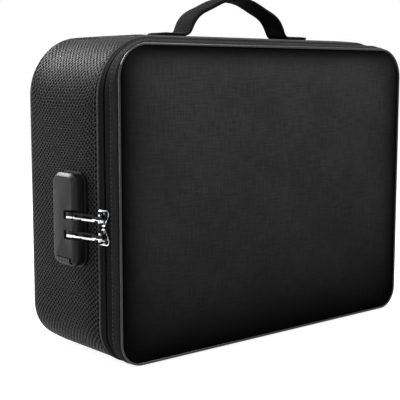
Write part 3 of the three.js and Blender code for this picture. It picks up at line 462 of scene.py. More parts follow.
def inflate(piece, ring_size, cap):
    """Blows the pad up a little as cloth over foam, with its sewn edge held, and keeps the result."""
    edge = piece.vertex_groups.new(name="sewn edge")
    edge.add(list(range(PAD_HELD_RINGS * ring_size)), 1.0, "REPLACE")
    cloth_step = piece.modifiers.new("Cloth", "CLOTH")
    facts = cloth_step.settings
    facts.quality = 6
    facts.mass = 0.3
    facts.tension_stiffness = 25
    facts.compression_stiffness = 25
    facts.shear_stiffness = 12
    facts.bending_stiffness = 2.0
    facts.use_pressure = True
    facts.uniform_pressure_force = 4.0
    facts.vertex_group_mass = edge.name
    facts.effector_weights.gravity = 0.0
    cloth_step.point_cache.frame_start = 1
    cloth_step.point_cache.frame_end = 20
    scene = bpy.context.scene
    for frame_number in range(1, 21):
        scene.frame_set(frame_number)
    ready = piece.evaluated_get(bpy.context.evaluated_depsgraph_get())
    moved = [v.co.copy() for v in ready.data.vertices]
    piece.modifiers.remove(cloth_step)
    piece.vertex_groups.remove(edge)
    for vertex, target in zip(piece.data.vertices, moved):
        step = target - vertex.co
        if step.length > cap:
            step *= cap / step.length
        vertex.co += step
    scene.frame_set(1)


inflate(front_panel, len(panel_outline), cap=0.0009)
dress(front_panel, "lid", panel_cloth, ["lid_panel"])


# The back panel is the same cloth on the back of the case, flatter than the lid's.
# It is sewn in behind the walls, with its own piping.
BACK_PANEL_CROWN = 0.0020
back_edge = CASE_DEPTH - WELT
back_pad = crowned_panel(
    "back_panel_pad",
    BACK_DRAW + WELT + GAP,
    (back_edge, back_edge + 0.0014),
    1,
    BACK_PANEL_CROWN,
    panel_outline,
)
inflate(back_pad, len(panel_outline), cap=0.0006)
dress(back_pad, "case", panel_cloth, ["back_panel"])


# Piping: a filler cord in a bias strip of smooth black cloth, round the lid and round the back.
# Its folded edge runs down into the seam beside it.
PIPING_RADIUS = WELT / 2
PIPING_OPENING = math.radians(28)
PIPING_TAIL = 0.0004
PIPING_FOLD = 0.0021


def skinned(name, rings, section, closed_loop, sharp=None):
    """A closed section through rings of points. UVs run along the path and round the section."""
    lengths = [0.0]
    for a, b in zip(rings, rings[1:] + rings[:1]):
        lengths.append(lengths[-1] + (a[0] - b[0]).length)
    round_lengths = [0.0]
    for a, b in zip(section, section[1:] + section[:1]):
        round_lengths.append(round_lengths[-1] + math.dist(a, b))
    count = len(section)
    faces, uvs = [], []
    spans = len(rings) if closed_loop else len(rings) - 1
    for i in range(spans):
        a, b = i * count, ((i + 1) % len(rings)) * count
        for j in range(count):
            k = (j + 1) % count
            faces.append([a + j, a + k, b + k, b + j])
            uvs += [
                (lengths[i], round_lengths[j]),
                (lengths[i], round_lengths[j + 1]),
                (lengths[i + 1], round_lengths[j + 1]),
                (lengths[i + 1], round_lengths[j]),
            ]
    if not closed_loop:
        faces.append(list(range(count)))
        uvs += [tuple(p) for p in section]
        last = (len(rings) - 1) * count
        faces.append([last + j for j in reversed(range(count))])
        uvs += [tuple(p) for p in reversed(section)]
    return new_piece(name, [p for ring in rings for p in ring], faces, corner_uvs=uvs, sharp=sharp)


def swept(name, stations, section, closed_loop):
    """A closed section of depths and insets carried along stations of the outline."""
    rings = [[at(s, depth, inset) for depth, inset in section] for s in stations]
    return skinned(name, rings, section, closed_loop)


def cord_section(depth, inset, radius, tail_depth, tail_inset, sides=14):
    """A round cord with the folded edge of its strip."""
    middle = math.atan2(tail_inset - inset, tail_depth - depth)
    points = []
    for i in range(sides):
        angle = middle + PIPING_OPENING + (2 * math.pi - 2 * PIPING_OPENING) * i / (sides - 1)
        points.append((depth + radius * math.cos(angle), inset + radius * math.sin(angle)))
    away = (-math.sin(middle), math.cos(middle))
    for half in (-PIPING_TAIL, PIPING_TAIL):
        points.append((tail_depth + away[0] * half, tail_inset + away[1] * half))
    return points


satin = cloth(
    "Piping satin",
    (0.004, 0.004, 0.0045),
    (0.010, 0.010, 0.011),
    (0.0007, 0.0007),
    0.00002,
    (0.14, 0.22),
    0.40,
)
welt_outline = whole_outline(22, 0.012)
front_piping = swept(
    "lid_piping",
    welt_outline,
    cord_section(PIPING_RADIUS, FRONT_DRAW + PIPING_RADIUS, PIPING_RADIUS, WELT, FRONT_DRAW + PIPING_FOLD),
    True,
)
dress(front_piping, "lid", satin, ["lid_welt"])
back_piping = swept(
    "back_piping",
    welt_outline,
    cord_section(
        CASE_DEPTH - PIPING_RADIUS,
        BACK_DRAW + PIPING_RADIUS,
        PIPING_RADIUS,
        CASE_DEPTH - WELT,
        BACK_DRAW + PIPING_FOLD,
    ),
    True,
)
dress(back_piping, "case", satin, ["back_welt"])


# The lid's rim is a narrow band of plain cloth over a stiffener, from the piping to the zip.
# A row of stitches holds the zip tape under its rear edge.
WALL = 0.005
RIM_START = 0.0025
RIM_END = 0.0093
STITCH_LENGTH = 0.0026
STITCH_SPACING = 0.0036
STITCH_PROUD = 0.0001
FINE_STITCH = (STITCH_LENGTH, 0.0006, 0.0005)


def band_section(start, end, outer, thickness, roll, steps=6):
    """A padded band that follows the drawn-in outside, with rolled edges."""
    turns = [math.radians(30 * i) for i in range(4)]
    rolls = [(roll * (1 - math.sin(t)), outer + roll * (1 - math.cos(t))) for t in turns]
    outside = [start + (end - start) * i / steps for i in range(1, steps)]
    inside = [start + (end - start) * i / 4 for i in (3, 2, 1)]
    return [
        *[(start + back, drawn_in(start) + inset) for back, inset in reversed(rolls)],
        *[(depth, drawn_in(depth) + outer) for depth in outside],
        *[(end - back, drawn_in(end) + inset) for back, inset in rolls],
        *[(depth, drawn_in(depth) + outer + thickness) for depth in (end, *inside, start)],
    ]


def make_repeat_tree(name, tooth):
    """Geometry nodes that set one small shape at even steps along a path."""
    tree = bpy.data.node_groups.new(name, "GeometryNodeTree")
    for socket, side, kind, value in (
        ("Path", "INPUT", "Geometry", None),
        ("Spacing", "INPUT", "Float", 0.0036),
        ("Size", "INPUT", "Vector", (0.0026, 0.0007, 0.0005)),
        ("Finish", "INPUT", "Material", None),
        ("Pieces", "OUTPUT", "Geometry", None),
    ):
        made = tree.interface.new_socket(socket, in_out=side, socket_type="NodeSocket" + kind)
        if value is not None:
            made.default_value = value
    enter = tree.nodes.new("NodeGroupInput").outputs
    even = add_node(
        tree, "GeometryNodeResampleCurve", mode="LENGTH", Curve=enter["Path"], Length=enter["Spacing"]
    )
    if tooth:
        unit = add_node(tree, "GeometryNodeMeshCube", Size=(1, 1, 1)).outputs["Mesh"]
    else:
        ball = add_node(tree, "GeometryNodeMeshUVSphere", Segments=6, Rings=5, Radius=0.5)
        soft = add_node(tree, "GeometryNodeSetShadeSmooth", Geometry=ball.outputs["Mesh"])
        unit = soft.outputs["Geometry"]
    tangent = tree.nodes.new("GeometryNodeInputTangent").outputs["Tangent"]
    turn = "FunctionNodeAlignRotationToVector"
    along = add_node(tree, turn, axis="X", Vector=tangent).outputs["Rotation"]
    level = add_node(tree, turn, axis="Y", pivot_axis="X", Rotation=along, Vector=(0, 1, 0))
    repeat = add_node(
        tree,
        "GeometryNodeInstanceOnPoints",
        Points=even.outputs["Curve"],
        Instance=unit,
        Rotation=level.outputs["Rotation"],
        Scale=enter["Size"],
    )
    real = add_node(tree, "GeometryNodeRealizeInstances", Geometry=repeat.outputs["Instances"])
    painted = add_node(
        tree, "GeometryNodeSetMaterial", Geometry=real.outputs["Geometry"], Material=enter["Finish"]
    )
    add_node(tree, "NodeGroupOutput", Pieces=painted.outputs["Geometry"])
    return tree


STITCHES = make_repeat_tree("Row of stitches", False)
TEETH = make_repeat_tree("Row of zip teeth", True)


def repeated(name, tree, paths, spacing, size, material):
    """Runs the tree on open or closed paths and keeps the result as a plain mesh."""
    curve = bpy.data.curves.new(name + "_path", "CURVE")
    curve.dimensions = "3D"
    for points, cyclic in paths:
        spline = curve.splines.new("POLY")
        spline.points.add(len(points) - 1)
        for place, p in zip(spline.points, points):
            place.co = (*p, 1.0)
        spline.use_cyclic_u = cyclic
    path = placed(name + "_path", curve)
    steps = path.modifiers.new("Repeat", "NODES")
    steps.node_group = tree
    names = {item.name: item.identifier for item in tree.interface.items_tree if item.in_out == "INPUT"}
    steps[names["Spacing"]] = spacing
    steps[names["Size"]] = size
    steps[names["Finish"]] = material
    ready = path.evaluated_get(bpy.context.evaluated_depsgraph_get())
    mesh = bpy.data.meshes.new_from_object(ready)
    path.modifiers.remove(steps)
    bpy.data.objects.remove(path)
    bpy.data.curves.remove(curve)
    mesh.name = name
    return placed(name, mesh)


def thread(name, colour):
    """Waxed sewing thread with a faint twist."""
    material, tree, shader, vector = new_material(name, on_cloth=False)
    twist = add_node(tree, "ShaderNodeTexWave", Vector=vector, Scale=900.0)
    darker = tuple(c * 0.6 for c in colour)
    colour = blend_colour(tree, twist.outputs["Fac"], darker, colour)
    fill(tree, shader, Base_Color=colour, Roughness=0.55)
    return material


plain_cloth = cloth("Plain cloth", (0.008, 0.008, 0.0082), (0.030, 0.030, 0.031), (0.0012, 0.0012), 0.00012)
black_thread = thread("Black thread", (0.012, 0.012, 0.013))
band_outline = whole_outline(18, 0.010)
rim = swept("lid_rim_band", band_outline, band_section(RIM_START, RIM_END, 0, WALL, 0.0009), True)
dress(rim, "lid", plain_cloth, ["lid_rim"])
RIM_STITCH_DEPTH = 0.0081
rim_path = [at(s, RIM_STITCH_DEPTH, drawn_in(RIM_STITCH_DEPTH) - STITCH_PROUD) for s in band_outline]
rim_stitches = repeated(
    "lid_rim_stitches",
    STITCHES,
    [(rim_path, True)],
    STITCH_SPACING,
    FINE_STITCH,
    black_thread,
)
dress(rim_stitches, "lid", black_thread)


# The zip has two woven tapes and two nylon coils, closed round three sides and the spine's ends.
# The coils are on the inner face, so that the closed zip shows only a dark line between the tapes.
ZIP_MIDDLE = 0.0151
ZIP_START = 0.0096
ZIP_END = 0.0206
ZIP_GROOVE = 0.0016
ZIP_LEAN = math.radians(8.5)
TAPE_SINK = 0.0006
TAPE = 0.0010
COIL_WIDTH = 0.0026
COIL_HEIGHT = 0.0026
TOOTH_SPACING = 0.0017


def zip_spot(out, back):
    """Depth and inset of a point given in the zip's own leaning frame."""
    return (
        ZIP_MIDDLE + back * math.cos(ZIP_LEAN) - out * math.sin(ZIP_LEAN),
        drawn_in(ZIP_MIDDLE) - out * math.cos(ZIP_LEAN) - back * math.sin(ZIP_LEAN),
    )


def tape_section(side, far_edge):
    """A tape with a turned inner edge along the groove."""
    under = TAPE_SINK + TAPE
    near_top = zip_spot(-TAPE_SINK, side * ZIP_GROOVE / 2)
    near_low = zip_spot(-under, side * ZIP_GROOVE / 2)
    far_top = (far_edge, drawn_in(far_edge) + TAPE_SINK)
    far_low = (far_edge, drawn_in(far_edge) + under)
    tops = [tuple(n + (f - n) * k for n, f in zip(near_top, far_top)) for k in (0.08, 0.3, 0.6, 0.85, 1.0)]
    lows = [tuple(n + (f - n) * k for n, f in zip(near_low, far_low)) for k in (1.0, 0.6, 0.3, 0.04)]
    edge = tuple((a + b) / 2 for a, b in zip(near_top, near_low))
    return tops + lows + [edge]


tape_cloth = cloth("Zip tape weave", (0.004, 0.004, 0.0045), (0.015, 0.015, 0.016), (0.0009, 0.0018), 0.00010)
nylon = thread("Black nylon", (0.010, 0.010, 0.011))
for side, body, far_edge in ((1, "case", ZIP_END), (-1, "lid", ZIP_START)):
    label = "body" if side > 0 else "lid"
    stations = whole_outline(18, 0.010)
    spine_steps = len(side_run(turned(LOW_RIGHT, 90), TOP_RIGHT, 0.010))
    stations = stations[: len(stations) - spine_steps + 1]
    tape = swept(f"{label}_tape", stations, tape_section(side, far_edge), False)
    dress(tape, body, tape_cloth, [f"{label}_zip_tape"])
    coil_depth, coil_inset = zip_spot(
        -(TAPE_SINK + TAPE + GAP + COIL_HEIGHT / 2), side * (ZIP_GROOVE + COIL_WIDTH) / 2
    )
    path = [at(s, coil_depth, coil_inset) for s in stations]
    teeth = repeated(
        f"{label}_teeth",
        TEETH,
        [(path, False)],
        TOOTH_SPACING,
        (TOOTH_SPACING * 0.6, COIL_WIDTH * 0.98, COIL_HEIGHT * 0.98),
        nylon,
    )
    dress(teeth, body, nylon, [f"{label}_zip_coil"])


# A cloth strip is the lid's hinge on the side away from the lock. Its front edge is a round fold
# about the hinge line, which follows the lid's band as the lid turns. A small tab covers each end
# of the zip beside it.
HINGE_DEPTH = 0.00945
HINGE_INSET = 0.0048
FOLD_RADIUS = 0.0006
SPINE_THICKNESS = 0.0018
SPINE_END_GAP = 0.0003
SPINE_RIPPLE = 0.0004
spine_low = corner_point(turned(LOW_RIGHT, 90), ZIP_END, 0).z + SPINE_END_GAP
spine_high = corner_point(TOP_RIGHT, ZIP_END, 0).z - SPINE_END_GAP
spine_tops = [(ZIP_START + (ZIP_END - ZIP_START) * i / 8) for i in range(9)]
spine_section = [
    (d, drawn_in(d) + GAP + SPINE_RIPPLE * math.cos(i * math.pi / 4) ** 2)
    for i, d in enumerate(spine_tops)
]
spine_section += [(d, drawn_in(d) + GAP + SPINE_THICKNESS) for d in reversed(spine_tops)]
spine_section = spine_section[1:] + [
    (HINGE_DEPTH - FOLD_RADIUS * math.cos(turn), HINGE_INSET + FOLD_RADIUS * math.sin(turn))
    for turn in (math.radians(75 - 25 * i) for i in range(9))
]
spine_heights = [spine_low + (spine_high - spine_low) * i / 16 for i in range(17)]
spine_rings = [[spot(CASE_WIDTH / 2 - inset, d, z) for d, inset in spine_section] for z in spine_heights]
spine_cloth = skinned("spine_strip", spine_rings, spine_section, False)
dress(spine_cloth, "case", plain_cloth, ["spine_hinge"])
TAB_START = ZIP_MIDDLE + ZIP_GROOVE / 2 + GAP
TAB_END = ZIP_END - GAP
END_TAB_TURN = 16
for label, corner, start in (("top", TOP_RIGHT, 0), ("base", LOW_RIGHT, 90 - END_TAB_TURN)):
    node = "zip_end_tab_" + label
    tab_stations = corner_run(corner, 7, start, start + END_TAB_TURN * 7 / 6)
    tab_section = band_section(TAB_START, TAB_END, TAPE_SINK - GAP - 0.001, 0.001, 0.0004, 3)
    tab = swept(node + "_cloth", tab_stations, tab_section, False)
    dress(tab, "case", plain_cloth, [node])


# The edge binding is a ribbed tape folded over the body's front edge, a shade lighter than the
# cloth, and shows as a thin light line right round the case.
BINDING_START = 0.0209
BINDING_END = 0.0224
BINDING_PROUD = 0.0005
BINDING_GRIP = 0.0020


def ribbed(name, dark, light, pitch, bump, rough=(0.5, 0.66)):
    """A ribbed tape or webbing, with ribs across its length."""
    material, tree, shader, vector = new_material(name)
    split = add_node(tree, "ShaderNodeSeparateXYZ", vector)
    turns = maths(tree, "MULTIPLY", split.outputs[0], 2 * math.pi / pitch)
    rib = spread(tree, maths(tree, "SINE", turns), -0.9, 0.9)
    weave = use_group(tree, WEAVE, vector, Pitch_across=pitch, Pitch_along=pitch * 2)
    marks = use_group(tree, HANDLING, vector)
    share = maths(tree, "MULTIPLY", rib, spread(tree, weave["Slub"], 0.3, 0.7, 0.4, 1.2), clamp=True)
    colour = blend_colour(tree, share, dark, light)
    fill(tree, shader, Base_Color=colour, Roughness=drift(tree, marks, *rough), Specular_IOR_Level=0.02)
    add_bump(tree, shader, maths(tree, "ADD", rib, weave["Height"]), bump)
    return material


binding_tape = ribbed("Binding tape", (0.040, 0.040, 0.042), (0.110, 0.110, 0.114), 0.0011, 0.00010)
binding_middle = (BINDING_START + BINDING_END) / 2
binding_half = (BINDING_END - BINDING_START) / 2
binding_inset = drawn_in(binding_middle)
binding_section = [
    (
        binding_middle - binding_half * math.cos(math.pi * i / 8),
        binding_inset + 0.0002 - (BINDING_PROUD + 0.0002) * math.sin(math.pi * i / 8),
    )
    for i in range(9)
]
binding_section += [(depth, binding_inset + BINDING_GRIP) for depth in (BINDING_END, BINDING_START)]
binding = swept("edge_binding_tape", whole_outline(20, 0.010), binding_section, True)
dress(binding, "case", binding_tape, ["body_edge_binding"])


# The body's walls are foam and board under cloth. A coarse dotted weave wraps both narrow sides
# and their corners, and plain cloth closes the top and the base between them.
WALL_START = 0.0227
WALL_END = 0.1195
DOT_PITCH = 0.0045


def make_dot_group():
    """A coarse weave: fat threads that leave staggered dark gaps."""
    group, enter = make_group("Staggered dots", {"Pitch": 0.0045}, ("Gaps", "Threads", "Fibres"))
    wobble = add_node(group, "ShaderNodeTexNoise", Vector=enter["Vector"], Scale=55.0).outputs["Color"]
    amount = (0.0005, 0.0005, 0)
    shift = add_node(group, "ShaderNodeVectorMath", wobble, amount, enter["Vector"], operation="MULTIPLY_ADD")
    crossed = crossed_waves(group, shift.outputs[0], (enter["Pitch"], enter["Pitch"]))
    gaps = spread(group, crossed, -0.05, 0.45)
    fibres = stretched_noise(group, enter["Vector"], (400, 1800, 1))
    threads = maths(group, "SUBTRACT", 1.0, gaps)
    add_node(group, "NodeGroupOutput", Gaps=gaps, Threads=threads, Fibres=fibres)
    return group


DOTS = make_dot_group()


def dotted(name, dark, light, pitch, bump):
    """The coarse woven cloth of the narrow sides."""
    material, tree, shader, vector = new_material(name)
    dots = use_group(tree, DOTS, vector, Pitch=pitch)
    marks = use_group(tree, HANDLING, vector, Patch_scale=10.0, Lint_scale=260.0)
    threads = dots["Threads"]
    share = maths(tree, "MULTIPLY", threads, spread(tree, dots["Fibres"], 0.3, 0.7, 0.55, 1.15))
    share = maths(tree, "MULTIPLY", share, drift(tree, marks, 0.8, 1.1), clamp=True)
    colour, rough = blend_colour(tree, share, dark, light), spread(tree, threads, 0, 1, 0.8, 0.42)
    fill(tree, shader, Base_Color=colour, Roughness=rough, Specular_IOR_Level=0.03)
    height = maths(tree, "ADD", threads, maths(tree, "MULTIPLY", dots["Fibres"], 0.3))
    add_bump(tree, shader, height, bump)
    return material


dotted_cloth = dotted(
    "Dotted side weave", (0.0005, 0.0005, 0.0005), (0.024, 0.024, 0.0249), DOT_PITCH, 0.0006
)
wall_section = band_section(WALL_START, WALL_END, 0, WALL, 0.0012, 22)
SEAM_TURN = 90 / 7
SEAM_GAP = 0.3
upper_step = turned(TOP_RIGHT, 90 - SEAM_TURN)[2]
left_stations = (
    corner_run(TOP_LEFT, 18, SEAM_TURN, 90)
    + side_run(turned(TOP_LEFT, 90), LOW_LEFT, 0.008)
    + corner_run(LOW_LEFT, 20)
    + [(turned(LOW_LEFT, 90), turned(LOW_LEFT, 90), 0.0)]
)
seam_place = turned(TOP_RIGHT, upper_step)
right_stations = (
    corner_run(LOW_RIGHT, 20)
    + side_run(turned(LOW_RIGHT, 90), TOP_RIGHT, 0.008)
    + corner_run(TOP_RIGHT, 18, 0, upper_step)
    + [(seam_place, seam_place, 0.0)]
)
for name, node, stations in (
    ("lock_side_padding", "lock_side_wall", left_stations),
    ("spine_side_padding", "spine_side_wall", right_stations),
):
    wall = swept(name, stations, wall_section, False)
    dress(wall, "case", dotted_cloth, [node])
far_seam = turned(TOP_LEFT, SEAM_TURN - SEAM_GAP)
top_stations = (
    corner_run(TOP_RIGHT, 4, upper_step + SEAM_GAP, 90)
    + side_run(turned(TOP_RIGHT, 90), TOP_LEFT, 0.008)
    + corner_run(TOP_LEFT, 4, 0, SEAM_TURN - SEAM_GAP)
    + [(far_seam, far_seam, 0.0)]
)
strip_cut = 0.0015
base_stations = side_run(turned(LOW_LEFT, 90), LOW_RIGHT, 0.008, strip_cut, 1 - strip_cut)
base_stations.append((turned(LOW_LEFT, 90), LOW_RIGHT, 1 - strip_cut))
for name, node, stations in (
    ("top_padding", "top_wall", top_stations),
    ("base_padding", "base_wall", base_stations),
):
    wall = swept(name, stations, wall_section, False)
    dress(wall, "case", plain_cloth, [node])
seam_depths = [WALL_START + 0.002 + (WALL_END - WALL_START - 0.004) * i / 24 for i in range(25)]
seam_paths = []
SEAM_STITCH_TURN = 1.6
for corner, degrees in (
    (TOP_RIGHT, upper_step - SEAM_STITCH_TURN),
    (TOP_LEFT, SEAM_TURN + SEAM_STITCH_TURN),
    (LOW_LEFT, 86),
    (LOW_RIGHT, 4),
):
    place = turned(corner, degrees)
    seam_paths.append(([corner_point(place, d, drawn_in(d) - STITCH_PROUD) for d in seam_depths], False))
seams = repeated(
    "wall_seam_stitches", STITCHES, seam_paths, STITCH_SPACING, (STITCH_LENGTH, 0.0007, 0.0006), black_thread
)
dress(seams, "case", black_thread)
EDGE_STITCH_DEPTH = 0.0251
edge_path = [at(s, EDGE_STITCH_DEPTH, drawn_in(EDGE_STITCH_DEPTH) - STITCH_PROUD) for s in band_outline]
edge_stitches = repeated(
    "body_edge_stitches",
    STITCHES,
    [(edge_path, True)],
    STITCH_SPACING,
    FINE_STITCH,
    black_thread,
)
dress(edge_stitches, "case", black_thread)


# The handle is one length of ribbed webbing. Its flat ends are sewn to the top through patches
# inside, each with a stitched box and cross.
STRAP_WIDTH = 0.025
STRAP_THICKNESS = 0.0026
GRIP_THICKNESS = 0.0038
STRAP_TAB = 0.030
HANDLE_SPAN = 0.115
HANDLE_RISE = 0.0334
HANDLE_DEPTH = 0.0615
foot = HANDLE_SPAN / 2
strap_base = CASE_HEIGHT + GAP + STRAP_THICKNESS / 2
half_strap = [
    (foot + STRAP_TAB, 0.0),
    (foot + STRAP_TAB * 0.5, 0.0),
    (foot + 0.005, 0.0003),
    (foot + 0.0009, 0.003),
    (foot - 0.0013, 0.0072),
    (foot - 0.004, 0.0118),
    (foot - 0.008, 0.0163),
    (foot - 0.0132, 0.0199),
    (foot - 0.0235, 0.0244),
    (foot - 0.0415, HANDLE_RISE - 0.0018),
]
strap_knots = [(-x, z) for x, z in half_strap] + [(0.0, HANDLE_RISE)] + list(reversed(half_strap))


def smooth_path(knots, steps):
    """A centripetal curve through knots, evenly stepped."""
    ends = [
        tuple(2 * a - b for a, b in zip(knots[0], knots[1])),
        tuple(2 * a - b for a, b in zip(knots[-1], knots[-2])),
    ]
    full = [ends[0], *knots, ends[1]]
    dense = []
    for p0, p1, p2, p3 in zip(full, full[1:], full[2:], full[3:]):
        times = [0.0]
        for a, b in ((p0, p1), (p1, p2), (p2, p3)):
            times.append(times[-1] + max(1e-6, math.dist(a, b) ** 0.5))
        for i in range(24):
            t = times[1] + (times[2] - times[1]) * i / 24
            t0, t1, t2, t3 = times

            def mix(a, b, ta, tb):
                return tuple((tb - t) / (tb - ta) * u + (t - ta) / (tb - ta) * v for u, v in zip(a, b))

            a1, a2, a3 = mix(p0, p1, t0, t1), mix(p1, p2, t1, t2), mix(p2, p3, t2, t3)
            b1, b2 = mix(a1, a2, t0, t2), mix(a2, a3, t1, t3)
            dense.append(mix(b1, b2, t1, t2))
    dense.append(tuple(knots[-1]))
    lengths = [0.0]
    for a, b in zip(dense, dense[1:]):
        lengths.append(lengths[-1] + math.dist(a, b))
    path, j = [], 0
    for i in range(steps + 1):
        wanted = lengths[-1] * i / steps
        while j < len(lengths) - 2 and lengths[j + 1] < wanted:
            j += 1
        share = (wanted - lengths[j]) / max(1e-9, lengths[j + 1] - lengths[j])
        path.append(tuple(a + (b - a) * share for a, b in zip(dense[j], dense[j + 1])))
    return path, lengths[-1]


STRAP_STEPS = 150
strap_path, strap_length = smooth_path(strap_knots, STRAP_STEPS)
PROFILE_SIDES = 32
SLIT_DEPTH = 0.0009
SLIT_HALF = 0.0003


def flat_round(sides, width, thickness, side_power, face_power):
    """The section of a tape: an oval with squared sides, as points (across, up)."""
    points = []
    for i in range(sides):
        turn = 2 * math.pi * i / sides
        across = math.copysign(abs(math.cos(turn)) ** side_power, math.cos(turn)) * width / 2
        up = math.copysign(abs(math.sin(turn)) ** face_power, math.sin(turn)) * thickness / 2
        points.append((across, up))
    return points


def strap_profile(folded):
    """Flat webbing, or, where it is folded double for the grip, two layers with a slit between."""
    thickness = STRAP_THICKNESS + (GRIP_THICKNESS - STRAP_THICKNESS) * folded
    profile = []
    for across, up in flat_round(PROFILE_SIDES, STRAP_WIDTH, thickness, 0.28, 0.45):
        slit = SLIT_DEPTH * folded * math.exp(-((up / SLIT_HALF) ** 2))
        profile.append((across - math.copysign(slit, across), up))
    return profile


def ring_faces(rings, count):
    """Faces between rings of points, and a face on each end."""
    faces = []
    for i in range(rings - 1):
        a, b = i * count, (i + 1) * count
        for j in range(count):
            k = (j + 1) % count
            faces.append([a + j, a + k, b + k, b + j])
    return faces + [list(range(count)), [(rings - 1) * count + j for j in range(count)]]


strap_points = []
for i, (x, z) in enumerate(strap_path):
    before = strap_path[max(0, i - 1)]
    after = strap_path[min(len(strap_path) - 1, i + 1)]
    along = Vector((after[0] - before[0], 0, after[1] - before[1])).normalized()
    normal = Vector((-along.z, 0, along.x))
    middle = spot(x, HANDLE_DEPTH, strap_base + z)
    rise = min(1.0, max(0.0, (z - 0.001) / 0.013))
    profile = strap_profile(rise * rise * (3 - 2 * rise))
    for across, up in profile:
        strap_points.append(middle + Vector((0, across, 0)) + normal * up)
flat_profile = strap_profile(0.0)
strap_faces = ring_faces(len(strap_path), PROFILE_SIDES)
strap_flat = [
    (strap_length * i / STRAP_STEPS, across) for i in range(STRAP_STEPS + 1) for across, up in flat_profile
]
strap_uvs = [strap_flat[v] for face in strap_faces[:-2] for v in face]
strap_uvs += [(0.0, strap_flat[v][1]) for face in strap_faces[-2:] for v in face]
webbing = ribbed(
    "Handle webbing", (0.0025, 0.0025, 0.0026), (0.010, 0.010, 0.0104), 0.0016, 0.00022, (0.6, 0.75)
)
strap = new_piece("handle_webbing", strap_points, strap_faces, corner_uvs=strap_uvs)
dress(strap, "case", webbing, ["handle_strap"])
TAB_SEAM_START = 0.008
TAB_SEAM_MARGIN = 0.003
TAB_STITCH_SPACING = 0.0031
tab_paths = []
tab_top = strap_base + STRAP_THICKNESS / 2 + STITCH_PROUD
seam_half = STRAP_WIDTH / 2 - TAB_SEAM_MARGIN
for sign in (-1, 1):
    near, far = sign * (foot + TAB_SEAM_START), sign * (foot + STRAP_TAB - TAB_SEAM_MARGIN)
    front, back = HANDLE_DEPTH - seam_half, HANDLE_DEPTH + seam_half
    box = [spot(x, d, tab_top) for x, d in ((near, front), (far, front), (far, back), (near, back))]
    tab_paths += [(box, True), ([box[0], box[2]], False), ([box[3], box[1]], False)]
tab_stitches = repeated(
    "handle_stitches", STITCHES, tab_paths, TAB_STITCH_SPACING, (0.0023, 0.0007, 0.0006), black_thread
)
dress(tab_stitches, "case", black_thread)


# Patches of webbing lie inside the top under each end of the handle, so that its stitches hold in
# more than the cloth.
ANCHOR_THICKNESS = 0.0014
ANCHOR_MARGIN = 0.005
ANCHOR_CORNER = 0.003
LINING = 0.0012
LINING_INSET = WALL + GAP


def rounded_outline(low_x, high_x, low_y, high_y, radius, steps=5):
    """Points round a rectangle with rounded corners."""
    middles = (
        (high_x - radius, high_y - radius, 0),
        (low_x + radius, high_y - radius, 90),
        (low_x + radius, low_y + radius, 180),
        (high_x - radius, low_y + radius, 270),
    )
    points = []
    for middle_x, middle_y, start in middles:
        for i in range(steps + 1):
            turn = math.radians(start + 90 * i / steps)
            points.append((middle_x + radius * math.cos(turn), middle_y + radius * math.sin(turn)))
    return points


def patch(name, outline, place, low, high, edge):
    """A flat piece with softened edges. The place turns two flat numbers and a height into a point."""
    middle_x = sum(p[0] for p in outline) / len(outline)
    middle_y = sum(p[1] for p in outline) / len(outline)
    reach = max(abs(p[0] - middle_x) for p in outline)
    levels = [(edge, low), (edge * 0.3, low + edge * 0.3), (0.0, low + edge)]
    levels += [(0.0, high - edge), (edge * 0.3, high - edge * 0.3), (edge, high)]
    rings = []
    for step_in, height in levels:
        ring = []
        for x, y in outline:
            away = Vector((x - middle_x, y - middle_y))
            share = 1 - step_in / max(reach * 0.2, away.length)
            ring.append(place(middle_x + away.x * share, middle_y + away.y * share, height))
        rings.append(ring)
    points = [p for ring in rings for p in ring]
    return new_piece(name, points, ring_faces(len(rings), len(outline)), outline * len(rings), sharp=50)


anchor_top = CASE_HEIGHT - LINING_INSET - LINING - GAP
for label, sign in (("lock_side", -1), ("spine_side", 1)):
    node = "handle_anchor_" + label
    ends = sorted((sign * (foot + STRAP_TAB + ANCHOR_MARGIN), sign * (foot - ANCHOR_MARGIN)))
    front = HANDLE_DEPTH - STRAP_WIDTH / 2 - ANCHOR_MARGIN
    back = HANDLE_DEPTH + STRAP_WIDTH / 2 + ANCHOR_MARGIN
    anchor = patch(
        node + "_patch",
        rounded_outline(ends[0], ends[1], front, back, ANCHOR_CORNER),
        spot,
        anchor_top - ANCHOR_THICKNESS,
        anchor_top,
        0.0004,
    )
    dress(anchor, "case", webbing, [node])


# Both halves are lined with thin grey satin. It is glued to the boards inside, carried over their
# open edge and turned in under the outer cloth.
LINING_SLACK = 0.0004


